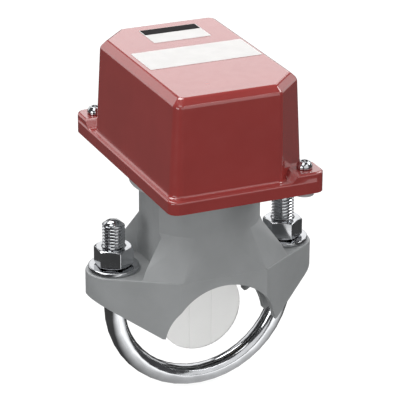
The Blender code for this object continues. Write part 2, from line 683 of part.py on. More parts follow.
def stem(material):
    """A turned stem with a ball at its pivot and a flat blade for the vane."""
    ball = STEM_BALL_RADIUS
    neck_angle = math.degrees(math.asin(STEM_RADIUS / ball))
    profile = [(0, BLADE_TOP - 0.0005), (STEM_RADIUS, BLADE_TOP - 0.0005)]
    profile += arc((0, PIVOT_HEIGHT), ball, neck_angle - 90, 90 - neck_angle, 8)
    profile += [(STEM_RADIUS, STEM_TOP - 0.001), (STEM_RADIUS - 0.001, STEM_TOP), (0, STEM_TOP)]
    piece = make("stem", turned(profile, 18), material)
    face = VANE_THICKNESS / 2 + SEAT_GAP
    half = BLADE_WIDTH / 2
    blade = softened([(-half, BLADE_BOTTOM), (half, BLADE_BOTTOM), (half, BLADE_TOP + 0.002),
                      (-half, BLADE_TOP + 0.002)], [0.002, 0.002, 0.0005, 0.0005], 4)
    add(piece, make("blade", placed(prism(blade, -face - BLADE_THICKNESS, -face), turn(90, "X"))))
    pin_hole = rod((0, 0), PIVOT_PIN_RADIUS + RUNNING_GAP, -2 * ball, 2 * ball, 12)
    cut(piece, make("ball_hole", placed(pin_hole, at(0, 0, PIVOT_HEIGHT), turn(90, "Y"))))
    for height in RIVET_HEIGHTS:
        cut(piece, make("blade_rivet_hole", rivet_hole(height)))
    return piece


def rivet_hole(height):
    """Guide for a rivet hole along Y."""
    hole = rod((0, 0), RIVET_RADIUS + SEAT_GAP, -0.01, 0.01, 10)
    return placed(hole, at(0, 0, height), turn(90, "X"))


def vane(material):
    """A thin round plastic paddle with a tab, creased so that it rolls up for fitting."""
    half = VANE_TAB_WIDTH / 2
    join = math.degrees(math.acos(half / VANE_RADIUS))
    disc = arc((0, VANE_HEIGHT), VANE_RADIUS, 180 - join, 360 + join, 40)
    corner = VANE_TAB_CORNER
    outline = disc + [(half, VANE_TAB_TOP - corner), (half - corner, VANE_TAB_TOP),
                      (-half + corner, VANE_TAB_TOP), (-half, VANE_TAB_TOP - corner)]
    shape = placed(prism(outline, -VANE_THICKNESS / 2, VANE_THICKNESS / 2), turn(90, "X"))
    piece = make("vane", shape, material)
    for side in (-1, 1):
        crease = block((side * VANE_FOLD - FOLD_WIDTH / 2, -VANE_THICKNESS, -2 * VANE_RADIUS),
                       (side * VANE_FOLD + FOLD_WIDTH / 2, -VANE_THICKNESS / 2 + FOLD_DEPTH,
                        2 * VANE_TAB_TOP))
        cut(piece, make("crease", crease))
    for height in RIVET_HEIGHTS:
        cut(piece, make("vane_rivet_hole", rivet_hole(height)))
    return piece


def rivet(name, height, material):
    """A rivet with a head on each side of the vane and blade."""
    front = -VANE_THICKNESS / 2 - SEAT_GAP
    back = VANE_THICKNESS / 2 + 2 * SEAT_GAP + BLADE_THICKNESS
    tall = RIVET_HEAD_HEIGHT
    wide = RIVET_HEAD_RADIUS
    profile = [(0, front - tall), (wide * 0.7, front - tall), (wide, front - tall * 0.4),
               (wide, front), (RIVET_RADIUS, front), (RIVET_RADIUS, back), (wide, back),
               (wide, back + tall * 0.4), (wide * 0.7, back + tall), (0, back + tall)]
    return make(name, placed(turned(profile, 10), at(0, 0, height), turn(-90, "X")), material)


def return_spring(material):
    """A torsion spring coiled round the pivot pin beside the ball."""
    pitch = 2 * SPRING_WIRE_RADIUS + 0.0001
    coil = PIVOT_PIN_RADIUS + RUNNING_GAP + SPRING_WIRE_RADIUS
    start_x = STEM_BALL_RADIUS + 2 * SPRING_WIRE_RADIUS
    leg = 0.0085
    steps = 10
    path = []
    total = SPRING_TURNS * steps + steps // 4
    path.append(Vector((start_x, leg, PIVOT_HEIGHT - coil)))
    for index in range(total + 1):
        angle = -math.pi / 2 - 2 * math.pi * index / steps
        path.append(Vector((start_x + pitch * index / steps, coil * math.cos(angle),
                            PIVOT_HEIGHT + coil * math.sin(angle))))
    last = path[-1]
    path.append(Vector((last.x, last.y, last.z + leg)))
    rings = []
    for index, place in enumerate(path):
        along = (path[min(index + 1, len(path) - 1)] - path[max(index - 1, 0)]).normalized()
        across = along.cross(Vector((1, 0, 0))).normalized()
        third = along.cross(across)
        ring = []
        for step in range(6):
            angle = 2 * math.pi * step / 6
            ring.append(place + (across * math.cos(angle) + third * math.sin(angle)) * SPRING_WIRE_RADIUS)
        rings.append(ring)
    return make("return_spring", loft(rings), material)


def plate_outline():
    """The base plate from above, inside the cover's flange."""
    half_x = FLANGE_X - FLANGE_WALL - SEAT_GAP
    half_y = FLANGE_Y - FLANGE_WALL - SEAT_GAP
    corners = [(-half_x, -half_y), (half_x, -half_y), (half_x, half_y), (-half_x, half_y)]
    return softened(corners, [FLANGE_CORNER - FLANGE_WALL] * 4, 4)


def housing(shape):
    """Move a shape that was drawn about the housing's own middle."""
    return placed(shape, at(HOUSING_OFFSET_X, 0, 0))


def cover_screw_places():
    """Cover screws: front right and back left."""
    return [(HOUSING_OFFSET_X + SCREW_X, -SCREW_Y), (HOUSING_OFFSET_X - SCREW_X, SCREW_Y)]


def base_plate(material):
    """A light die casting: round hub on the neck, plate and two screw bosses."""
    plate = make("base_plate", housing(prism(plate_outline(), PLATE_BOTTOM, PLATE_TOP)), material)
    add(plate, make("hub", rod((0, 0), HUB_RADIUS, HUB_BOTTOM, PLATE_BOTTOM + 0.001, 56)))
    for place in cover_screw_places():
        boss = rod(place, CORNER_BOSS_RADIUS, PLATE_BOTTOM - CORNER_BOSS_DROP, PLATE_BOTTOM + 0.001, 18)
        add(plate, make("corner_boss", boss))
    cut(plate, make("hub_bore", rod((0, 0), NECK_BORE_RADIUS, HUB_BOTTOM - 0.01, PLATE_TOP + 0.01, 32)))
    for place in cover_screw_places():
        hole = rod(place, COVER_SCREW_RADIUS + SCREW_CLEARANCE, PLATE_BOTTOM - 0.01, PLATE_TOP + 0.01, 12)
        cut(plate, make("boss_hole", hole))
    for place in base_screw_places():
        hole = rod(place, BASE_SCREW_RADIUS + SCREW_CLEARANCE, HUB_BOTTOM - 0.01, PLATE_TOP + 0.01, 12)
        cut(plate, make("hub_screw_hole", hole))
    frame_screws = ((FRAME_SCREW_X, -FRAME_SCREW_Y), (-FRAME_SCREW_X, -FRAME_SCREW_Y))
    for place in (*frame_screws, (0, GROUND_SCREW_Y)):
        hole = rod(place, BRACKET_SCREW_RADIUS + SCREW_CLEARANCE, PLATE_TOP - 0.007, PLATE_TOP + 0.01, 12)
        cut(plate, make("plate_screw_hole", hole))
    inner = KNOCKOUT_RADIUS - KNOCKOUT_GROOVE
    outer = KNOCKOUT_RADIUS
    profile = [(inner, -0.002), (outer, -0.002), (outer, KNOCKOUT_DEPTH), (inner, KNOCKOUT_DEPTH)]
    for side in (-1, 1):
        groove = placed(turned(profile, 28), at(HOUSING_OFFSET_X, side * KNOCKOUT_OFFSET, PLATE_BOTTOM))
        cut(plate, make("knockout_groove", groove))
    return plate


def housing_outline(offset, inset=0.0):
    """The cover's walls from above: two full corners and two chamfered ones."""
    half_x = COVER_TOP_X + offset - inset
    half_y = COVER_TOP_Y + offset - inset
    chamfer = COVER_CHAMFER + (offset - inset) * (2 - math.sqrt(2))
    chamfer += max(offset - COVER_EDGE_RADIUS, 0) * CHAMFER_DRAFT
    corners = [(-half_x, -half_y), (half_x - chamfer, -half_y), (half_x, -half_y + chamfer),
               (half_x, half_y), (-half_x + chamfer, half_y), (-half_x, half_y - chamfer)]
    full = FULL_CORNER_RADIUS + offset * 0.5 - inset * 0.45
    small = CHAMFER_CORNER_RADIUS + offset * 0.5 - inset * 0.25
    return softened(corners, [full, small, small, full, small, small], 4)


def flange_outline(inset):
    """The cover's flange from above."""
    half_x = FLANGE_X - inset
    half_y = FLANGE_Y - inset
    corners = [(-half_x, -half_y), (half_x, -half_y), (half_x, half_y), (-half_x, half_y)]
    return softened(corners, [FLANGE_CORNER - inset] * 4, 5)


def ramp(low_x, high_x, low_z, high_z, steps=7):
    """Points of a smooth S between two levels."""
    points = []
    for step in range(steps + 1):
        share = step / steps
        rise = share * share * (3 - 2 * share)
        points.append((low_x + (high_x - low_x) * share, low_z + (high_z - low_z) * rise))
    return points


def cover_ear(name, move):
    """A raised corner that takes a cover screw, drawn at the front right and then moved."""
    edge = FLANGE_EDGE_RADIUS
    side = EAR_INSET
    rings = [level(flange_outline(side), LEDGE - 0.002), level(flange_outline(side), EAR_TOP - edge)]
    for x, z in arc((0, EAR_TOP - edge), edge, 30, 90, 2):
        rings.append(level(flange_outline(side + edge - x), z))
    ear = make(name, placed(loft(rings), move))
    low = LEDGE - 0.0005
    high = EAR_TOP + 0.0002
    slope_x = ramp(FLANGE_X - EAR_REACH_X - EAR_RAMP, FLANGE_X - EAR_REACH_X, low, high)
    slope_y = ramp(FLANGE_Y - EAR_REACH_Y - EAR_RAMP, FLANGE_Y - EAR_REACH_Y, low, high)
    for slope, facing in ((slope_x, turn(90, "X")), (slope_y, turn(-90, "Z") @ turn(90, "X"))):
        past = 2 * FLANGE_Y
        outline = [(slope[0][0], LEDGE - 0.004), (past, LEDGE - 0.004), (past, EAR_TOP + 0.004),
                   (slope[-1][0] + 0.0001, EAR_TOP + 0.004)] + list(reversed(slope))
        keep(ear, make(name + ".ramp", placed(prism(outline, -past, past), move, facing)))
    return ear


def cover(material):
    """The red cast cover: drafted walls, flange, two screw ears, hollow inside."""
    edge = FLANGE_EDGE_RADIUS
    rings = [level(flange_outline(0), COVER_BOTTOM), level(flange_outline(0), LEDGE - edge)]
    for x, z in arc((0, LEDGE - edge), edge, 30, 90, 2):
        rings.append(level(flange_outline(edge - x), z))
    piece = make("cover", housing(loft(rings)), material)
    side = COVER_EDGE_RADIUS + COVER_DRAFT
    foot_z = LEDGE + FOOT_RADIUS
    rings = [level(housing_outline(side + FOOT_RADIUS), LEDGE - 0.001)]
    for x, z in reversed(arc((side + FOOT_RADIUS, foot_z), FOOT_RADIUS, 180, 270, 4)):
        rings.append(level(housing_outline(x), z))
    for x, z in arc((0, COVER_TOP - COVER_EDGE_RADIUS), COVER_EDGE_RADIUS, 0, 90, 5):
        rings.append(level(housing_outline(x), z))
    add(piece, make("walls", housing(loft(rings))))
    add(piece, cover_ear("front_ear", at(HOUSING_OFFSET_X, 0, 0)))
    add(piece, cover_ear("back_ear", at(HOUSING_OFFSET_X, 0, 0) @ turn(180, "Z")))
    inner_edge = COVER_EDGE_RADIUS - 0.001
    rings = [level(housing_outline(side, COVER_WALL), COVER_STEP - 0.0005)]
    for x, z in arc((0, COVER_TOP - COVER_WALL - inner_edge), inner_edge, 0, 90, 3):
        rings.append(level(housing_outline(x + 0.001, COVER_WALL), z))
    cut(piece, make("inside", housing(loft(rings))))
    inside_x = FLANGE_X - FLANGE_WALL
    inside_y = FLANGE_Y - FLANGE_WALL
    corners = [(-inside_x, -inside_y), (inside_x, -inside_y), (inside_x, inside_y), (-inside_x, inside_y)]
    rim = softened(corners, [FLANGE_CORNER - FLANGE_WALL] * 4, 4)
    cut(piece, make("flange_inside", housing(prism(rim, COVER_BOTTOM - 0.01, COVER_STEP))))
    for place in cover_screw_places():
        hole = rod(place, COVER_SCREW_RADIUS + SCREW_CLEARANCE, COVER_BOTTOM, EAR_TOP + 0.01, 14)
        cut(piece, make("cover_screw_hole", hole))
    return piece


def cover_gasket(material):
    """A flat gasket between the plate and the step inside the cover."""
    low = PLATE_TOP + SEAT_GAP
    blank = housing(prism(plate_outline(), low, low + COVER_GASKET_THICKNESS))
    gasket = make("cover_gasket", blank, material)
    window = housing_outline(COVER_EDGE_RADIUS + COVER_DRAFT, COVER_WALL + 0.002)
    cut(gasket, make("gasket_window", housing(prism(window, low - 0.01, low + 0.01))))
    for place in cover_screw_places():
        hole = rod(place, COVER_SCREW_RADIUS + SCREW_CLEARANCE, low - 0.01, low + 0.01, 14)
        cut(gasket, make("gasket_screw_hole", hole))
    return gasket


def cover_screw(name, place, material):
    """A tamper resistant button head screw: hexagon socket with a pin left standing."""
    seat = EAR_TOP + SEAT_GAP
    length = seat - (PLATE_BOTTOM - CORNER_BOSS_DROP + 0.001)
    head = COVER_SCREW_HEAD_RADIUS
    height = COVER_SCREW_HEAD_HEIGHT
    profile = [(0, -length), (COVER_SCREW_RADIUS, -length), (COVER_SCREW_RADIUS, 0), (head, 0),
               (head, height * 0.25)]
    for share in (0.5, 0.8):
        profile.append((head * math.sqrt(1 - (share - 0.25) ** 2 / 0.75 ** 2 * 0.75), height * share))
    profile += [(head * 0.6, height), (0, height)]
    move = at(place[0], place[1], seat)
    piece = make(name, placed(turned(profile, 18), move), material)
    socket = prism(circle((0, 0), head * 0.46, 6), height * 0.4, height + 0.002)
    tool = make(name + ".socket", placed(socket, move))
    cut(tool, make(name + ".pin", rod(place, head * 0.16, seat, seat + height + 0.004, 8)))
    cut(piece, tool)
    return piece


def mechanism_frame(material):
    """A folded sheet frame for the retard unit and the two switches."""
    low = PLATE_TOP + SEAT_GAP
    high = low + FRAME_SHEET
    side_x = SWITCH_X + SWITCH_WIDTH + SEAT_GAP
    back = RETARD_FRONT + RETARD_LENGTH + SEAT_GAP
    half_back = FRAME_BACK_WIDTH / 2
    wide = side_x + FRAME_SHEET
    shoulder = SWITCH_FACE + SWITCH_DEPTH
    foot = [(-wide, -shoulder), (-half_back, -back - FRAME_SHEET), (half_back, -back - FRAME_SHEET),
            (wide, -shoulder), (wide, -FRAME_FRONT), (-wide, -FRAME_FRONT)]
    frame = make("mechanism_frame", prism(foot, low, high), material, False)
    wall = block((-half_back, -back - FRAME_SHEET, low + 0.0004),
                 (half_back, -back, PLUNGER_HEIGHT + FRAME_BACK_RISE))
    add(frame, make("back_wall", wall))
    for side in (-1, 1):
        x = min(side * side_x, side * wide)
        top = SWITCH_BOTTOM + SWITCH_SCREW_RISE + FRAME_SIDE_RISE
        wall = block((x, -shoulder, low + 0.0004), (x + FRAME_SHEET, -FRAME_FRONT, top))
        add(frame, make("side_wall", wall))
        hole = rod((side * FRAME_SCREW_X, -FRAME_SCREW_Y), BRACKET_SCREW_RADIUS + SCREW_CLEARANCE,
                   low - 0.01, high + 0.01, 12)
        cut(frame, make("frame_screw_way", hole))
        way = retard_screw_way(side, BRACKET_SCREW_RADIUS + SCREW_CLEARANCE, 0.02)
        cut(frame, make("retard_screw_way", way))
    cut(frame, make("switch_screw_way", switch_screw_way()))
    return frame


def switch_screw_way():
    """Guide along X for the screws that hold the switches."""
    reach = 2 * (SWITCH_X + SWITCH_WIDTH)
    way = rod((0, 0), SWITCH_SCREW_RADIUS + SCREW_CLEARANCE, -reach, reach, 10)
    middle = SWITCH_FACE + SWITCH_DEPTH * 0.6
    return placed(way, at(0, -middle, SWITCH_BOTTOM + SWITCH_SCREW_RISE), turn(90, "Y"))


def retard_housing(material):
    """The air damper's round body with a seat for its dial."""
    guide = PLUNGER_RADIUS + RUNNING_GAP
    edge = 0.0008
    profile = [(0, PLUNGER_GUIDE), (guide, PLUNGER_GUIDE), (guide, 0), (RETARD_STEP_RADIUS, 0),
               (RETARD_STEP_RADIUS, RETARD_STEP), (RETARD_RADIUS - edge, RETARD_STEP),
               (RETARD_RADIUS, RETARD_STEP + edge), (RETARD_RADIUS, RETARD_LENGTH - edge),
               (RETARD_RADIUS - edge, RETARD_LENGTH), (0, RETARD_LENGTH)]
    body = placed(turned(profile, 28), at(0, -RETARD_FRONT, PLUNGER_HEIGHT), turn(90, "X"))
    piece = make("retard_housing", body, material)
    seat = rod((0, -DIAL_MIDDLE), DIAL_SEAT_RADIUS, PLUNGER_HEIGHT + RETARD_RADIUS * 0.6, DIAL_SEAT, 20)
    add(piece, make("dial_seat", seat))
    hole = rod((0, -DIAL_MIDDLE), DIAL_SHAFT_RADIUS + RUNNING_GAP,
               DIAL_SEAT - DIAL_SHAFT_DEPTH - RUNNING_GAP, DIAL_SEAT + 0.01, 12)
    cut(piece, make("dial_hole", hole))
    for side in (-1, 1):
        way = retard_screw_way(side, BRACKET_SCREW_RADIUS + SCREW_CLEARANCE, 0.02)
        cut(piece, make("retard_screw_hole", way))
    return piece


def retard_screw_way(side, radius, length, steps=12):
    """Guide along Y into the damper's back for one of its two screws."""
    way = prism(circle((0, 0), radius, steps), 0, length)
    back = RETARD_FRONT + RETARD_LENGTH
    mouth = at(side * RETARD_SCREW_X, -back + RETARD_SCREW_GRIP, PLUNGER_HEIGHT)
    return placed(way, mouth, turn(90, "X"))


def retard_screw(name, side, material):
    """A screw through the frame's back wall into the damper."""
    seat = RETARD_FRONT + RETARD_LENGTH + 2 * SEAT_GAP + FRAME_SHEET
    move = at(side * RETARD_SCREW_X, -seat, PLUNGER_HEIGHT) @ turn(90, "X")
    length = 2 * SEAT_GAP + FRAME_SHEET + RETARD_SCREW_GRIP - 0.0005
    head = (BRACKET_SCREW_HEAD_RADIUS, BRACKET_SCREW_HEAD_HEIGHT)
    piece = make(name, placed(screw(*head, BRACKET_SCREW_RADIUS, length), move), material)
    slotted(piece, *head, move)
    return piece


def retard_dial(material):
    """The delay dial: fluted edge, pointer groove and a shaft in the housing."""
    base = DIAL_SEAT + RUNNING_GAP
    outline = []
    flutes = 12
    for index in range(flutes * 4):
        angle = 2 * math.pi * index / (flutes * 4)
        radius = DIAL_RADIUS - (FLUTE_DEPTH if index % 4 in (0, 1) else 0.0)
        outline.append((radius * math.cos(angle), radius * math.sin(angle)))
    shape = placed(prism(outline, base, base + DIAL_HEIGHT), at(0, -DIAL_MIDDLE, 0))
    piece = make("retard_dial", shape, material)
    shaft = rod((0, -DIAL_MIDDLE), DIAL_SHAFT_RADIUS, DIAL_SEAT - DIAL_SHAFT_DEPTH, base + 0.001, 12)
    add(piece, make("dial_shaft", shaft))
    groove = block((-0.0006, -DIAL_MIDDLE, base + DIAL_HEIGHT - 0.0008),
                   (0.0006, -DIAL_MIDDLE + DIAL_RADIUS - 0.0015, base + DIAL_HEIGHT + 0.001))
    cut(piece, make("pointer", groove))
    return piece


def retard_plunger(material):
    """The damper's plunger: domed head at the stem, shoulder for the yoke, guided rod."""
    shoulder = YOKE_Y - STEM_RADIUS - RUNNING_GAP - SEAT_GAP
    head = PLUNGER_HEAD_RADIUS
    dome = PLUNGER_DOME_RADIUS
    profile = []
    for step in range(5):
        angle = math.asin(head / dome) * step / 4
        profile.append((dome * math.sin(angle), dome - dome * math.cos(angle)))
    rim = profile[-1][1] + PLUNGER_HEAD_RIM
    profile += [(head, rim), (PLUNGER_RADIUS + 0.001, rim), (PLUNGER_RADIUS + 0.001, shoulder),
                (PLUNGER_RADIUS, shoulder), (PLUNGER_RADIUS, PLUNGER_LENGTH), (0, PLUNGER_LENGTH)]
    shape = placed(turned(profile, 18), at(0, -STEM_RADIUS - RUNNING_GAP, PLUNGER_HEIGHT), turn(90, "X"))
    return make("retard_plunger", shape, material)


def trip_yoke(material):
    """A sheet T on the plunger that pushes both switch levers."""
    half = YOKE_STEM_WIDTH / 2
    bar = YOKE_HALF_WIDTH
    low = PLUNGER_HEIGHT - half
    outline = [(-half, low), (half, low), (half, YOKE_BAR_LOW), (bar, YOKE_BAR_LOW),
               (bar, YOKE_BAR_HIGH), (-bar, YOKE_BAR_HIGH), (-bar, YOKE_BAR_LOW), (-half, YOKE_BAR_LOW)]
    shape = placed(prism(outline, YOKE_Y, YOKE_Y + YOKE_SHEET), turn(90, "X"))
    piece = make("trip_yoke", shape, material, False)
    hole = rod((0, 0), PLUNGER_RADIUS + SEAT_GAP, 0, 2 * YOKE_Y + YOKE_SHEET, 18)
    cut(piece, make("yoke_hole", placed(hole, at(0, 0, PLUNGER_HEIGHT), turn(90, "X"))))
    return piece


def lever_pivot():
    """Place of a lever's pivot along Y and Z."""
    return -SWITCH_FACE + LEVER_PIVOT_OUT, SWITCH_BOTTOM + LEVER_PIVOT_RISE


def lever_angle(travel):
    """A lever's lean from upright, in radians, when the yoke has moved by a distance."""
    pivot_y, pivot_z = lever_pivot()
    run = -YOKE_Y - YOKE_SHEET - travel - pivot_y
    rise = YOKE_BAR_HIGH - pivot_z
    offset = LEVER_SHEET / 2 + RUNNING_GAP
    return math.atan2(run, rise) - math.asin(offset / math.hypot(run, rise))


def button_front(lean):
    """Where a button's end lies along Y for a lever's lean."""
    pivot_y, _ = lever_pivot()
    low_edge = BUTTON_RISE - BUTTON_RADIUS
    return pivot_y + low_edge * math.tan(lean) - LEVER_SHEET / 2 / math.cos(lean) - RUNNING_GAP


def snap_switch(name, side, material):
    """A moulded snap switch with lugs for its lever."""
    x = SWITCH_X if side > 0 else -SWITCH_X - SWITCH_WIDTH
    low = SWITCH_BOTTOM
    shape = block((x, -SWITCH_FACE - SWITCH_DEPTH, low),
                  (x + SWITCH_WIDTH, -SWITCH_FACE, low + SWITCH_HEIGHT))
    bmesh.ops.bevel(shape, geom=list(shape.edges), offset=0.0005, segments=1, affect="EDGES")
    piece = make(name, shape, material, False)
    middle = x + SWITCH_WIDTH / 2
    pivot_y, pivot_z = lever_pivot()
    for edge in (-1, 1):
        near = middle + edge * (LEVER_WIDTH / 2 + RUNNING_GAP)
        far = near + edge * 0.001
        lug = block((min(near, far), -SWITCH_FACE - 0.001, pivot_z - 0.0013),
                    (max(near, far), pivot_y + 0.0009, pivot_z + 0.0013))
        add(piece, make(name + ".lug", lug))
    travel_room = button_front(lever_angle(0)) - button_front(lever_angle(PLUNGER_TRAVEL)) + RUNNING_GAP
    depth = button_front(lever_angle(0)) - BUTTON_DEPTH - travel_room
    mouth = -SWITCH_FACE + 0.005
    hole = rod((0, 0), BUTTON_RADIUS + RUNNING_GAP, 0, mouth - depth, 12)
    hole = placed(hole, at(middle, mouth, pivot_z + BUTTON_RISE), turn(90, "X"))
    cut(piece, make(name + ".button_hole", hole))
    for place in terminal_heights():
        hole = rod((0, 0), TERMINAL_SHANK_RADIUS + SCREW_CLEARANCE, -0.005,
                   TERMINAL_SHANK_LENGTH + SEAT_GAP, 10)
        hole = placed(hole, at(middle, -SWITCH_FACE - SWITCH_DEPTH, place), turn(-90, "X"))
        cut(piece, make(name + ".terminal_hole", hole))
    cut(piece, make(name + ".screw_way", switch_screw_way()))
    return piece


def terminal_heights():
    """Heights of the three terminal screws of a switch."""
    middle = SWITCH_BOTTOM + SWITCH_HEIGHT / 2
    return [middle - TERMINAL_PITCH, middle, middle + TERMINAL_PITCH]


def terminal_screw(name, side, height, material):
    """A terminal screw in the back of a switch."""
    x = side * (SWITCH_X + SWITCH_WIDTH / 2)
    move = at(x, -SWITCH_FACE - SWITCH_DEPTH - SEAT_GAP, height) @ turn(90, "X")
    head = (TERMINAL_HEAD_RADIUS, TERMINAL_HEAD_HEIGHT)
    shape = placed(screw(*head, TERMINAL_SHANK_RADIUS, TERMINAL_SHANK_LENGTH), move)
    piece = make(name, shape, material)
    slotted(piece, *head, move)
    return piece


def switch_lever(name, side, material):
    """A spring steel lever with a rolled end at its pivot."""
    x = side * (SWITCH_X + SWITCH_WIDTH / 2)
    pivot_y, pivot_z = lever_pivot()
    half = LEVER_WIDTH / 2
    blade = block((-half, -LEVER_SHEET / 2, 0), (half, LEVER_SHEET / 2, LEVER_LENGTH))
    move = at(x, pivot_y, pivot_z) @ Matrix.Rotation(-lever_angle(0), 4, "X")
    piece = make(name, placed(blade, move), material, False)
    roll = rod((0, 0), LEVER_ROLL_RADIUS, -half, half, 10)
    add(piece, make(name + ".roll", placed(roll, at(x, pivot_y, pivot_z), turn(90, "Y"))))
    return piece


def switch_button(name, side, material):
    """The switch's own button under the lever."""
    x = side * (SWITCH_X + SWITCH_WIDTH / 2)
    _, pivot_z = lever_pivot()
    front = button_front(lever_angle(0))
    edge = BUTTON_RADIUS * 0.3
    profile = [(0, 0), (BUTTON_RADIUS - edge, 0), (BUTTON_RADIUS, edge), (BUTTON_RADIUS, BUTTON_DEPTH),
               (0, BUTTON_DEPTH)]
    shape = placed(turned(profile, 12), at(x, front, pivot_z + BUTTON_RISE), turn(90, "X"))
    return make(name, shape, material)


def switch_screw(name, side, material):
    """The screw that holds a switch on the frame's side wall."""
    outside = SWITCH_X + SWITCH_WIDTH + 2 * SEAT_GAP + FRAME_SHEET
    middle = SWITCH_FACE + SWITCH_DEPTH * 0.6
    move = at(side * outside, -middle, SWITCH_BOTTOM + SWITCH_SCREW_RISE) @ turn(90 * side, "Y")
    length = outside - SWITCH_X + 0.0005
    head = (SWITCH_SCREW_HEAD_RADIUS, SWITCH_SCREW_HEAD_HEIGHT)
    piece = make(name, placed(screw(*head, SWITCH_SCREW_RADIUS, length), move), material)
    slotted(piece, *head, move)
    return piece


def upright_screw(name, place, seat, head, shank, length, material):
    """A slotted screw standing on a seat."""
    move = at(place[0], place[1], seat + SEAT_GAP)
    piece = make(name, placed(screw(head[0], head[1], shank, length), move), material)
    slotted(piece, head[0], head[1], move)
    return piece


def build():
    """Make every piece of the detector."""
    for item in list(bpy.data.objects):
        bpy.data.objects.remove(item, do_unlink=True)
    grey = finish("grey_enamel", (0.22, 0.225, 0.23), 0.45, 0.0)
    red = finish("red_enamel", (0.5, 0.03, 0.03), 0.35, 0.0)
    cast = finish("bare_die_casting", (0.55, 0.55, 0.55), 0.5, 0.6)
    zinc = finish("bright_zinc", (0.75, 0.76, 0.78), 0.2, 1.0)
    steel = finish("sheet_steel", (0.55, 0.56, 0.58), 0.35, 1.0)
    brass = finish("brass", (0.75, 0.58, 0.25), 0.3, 1.0)
    rubber = finish("black_rubber", (0.03, 0.03, 0.03), 0.8, 0.0)
    white = finish("white_nylon", (0.85, 0.85, 0.83), 0.4, 0.0)
    black = finish("black_moulding", (0.04, 0.04, 0.045), 0.45, 0.0)
    green = finish("green_screw", (0.05, 0.3, 0.08), 0.35, 0.3)

    saddle_casting(grey)
    u_bolt(zinc)
    hex_nut("stud_nut_left", -1, NUT_TURN_LEFT, zinc)
    hex_nut("stud_nut_right", 1, NUT_TURN_RIGHT, zinc)
    washer("washer_left", -1, zinc)
    washer("washer_right", 1, zinc)
    pipe_gasket(rubber)
    stem_seal(rubber)
    pivot_bracket(steel)
    pivot_pin(steel)
    small_head = (BRACKET_SCREW_HEAD_RADIUS, BRACKET_SCREW_HEAD_HEIGHT)
    for index, side in enumerate((-1, 1)):
        upright_screw(f"bracket_screw_{index + 1}", (0, side * BRACKET_SCREW_OFFSET), BRACKET_TOP,
                      small_head, BRACKET_SCREW_RADIUS, BRACKET_TOP - SEAL_FLOOR + BRACKET_SCREW_GRIP,
                      steel)
    swinging = [stem(brass), vane(white), return_spring(steel)]
    for index, height in enumerate(RIVET_HEIGHTS):
        swinging.append(rivet(f"vane_rivet_{index + 1}", height, brass))
    for piece in swinging:
        hang(piece, (0, 0, PIVOT_HEIGHT))

    base_plate(cast)
    for index, place in enumerate(base_screw_places()):
        upright_screw(f"base_screw_{index + 1}", place, PLATE_TOP,
                      (BASE_SCREW_HEAD_RADIUS, BASE_SCREW_HEAD_HEIGHT), BASE_SCREW_RADIUS,
                      PLATE_TOP + SEAT_GAP - NECK_TOP + BASE_SCREW_GRIP, zinc)
    cover_gasket(rubber)
    cover(red)
    for name, place in zip(("cover_screw_front", "cover_screw_back"), cover_screw_places()):
        cover_screw(name, place, zinc)
    upright_screw("ground_screw", (0, GROUND_SCREW_Y), PLATE_TOP,
                  (GROUND_SCREW_HEAD_RADIUS, GROUND_SCREW_HEAD_HEIGHT), BRACKET_SCREW_RADIUS, 0.006, green)

    mechanism_frame(steel)
    for index, side in enumerate((-1, 1)):
        upright_screw(f"frame_screw_{index + 1}", (side * FRAME_SCREW_X, -FRAME_SCREW_Y),
                      PLATE_TOP + SEAT_GAP + FRAME_SHEET, small_head, BRACKET_SCREW_RADIUS, 0.0075, steel)
    retard_housing(black)
    for index, side in enumerate((-1, 1)):
        retard_screw(f"retard_screw_{index + 1}", side, steel)
    hang(retard_dial(white), (0, -DIAL_MIDDLE, DIAL_SEAT))
    for piece in (retard_plunger(brass), trip_yoke(steel)):
        hang(piece, (0, -STEM_RADIUS, PLUNGER_HEIGHT))
    for word, side in (("left", -1), ("right", 1)):
        snap_switch(f"switch_{word}", side, black)
        pivot_y, pivot_z = lever_pivot()
        middle = side * (SWITCH_X + SWITCH_WIDTH / 2)
        hang(switch_lever(f"switch_lever_{word}", side, steel), (middle, pivot_y, pivot_z))
        button = switch_button(f"switch_button_{word}", side, white)
        hang(button, (middle, -SWITCH_FACE, pivot_z + BUTTON_RISE))
        switch_screw(f"switch_screw_{word}", side, zinc)
        for index, height in enumerate(terminal_heights()):
            terminal_screw(f"terminal_{word}_{index + 1}", side, height, brass)


build()
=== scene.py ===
import json
from math import hypot, pi, radians

import bpy
from mathutils import Euler, Matrix, Vector

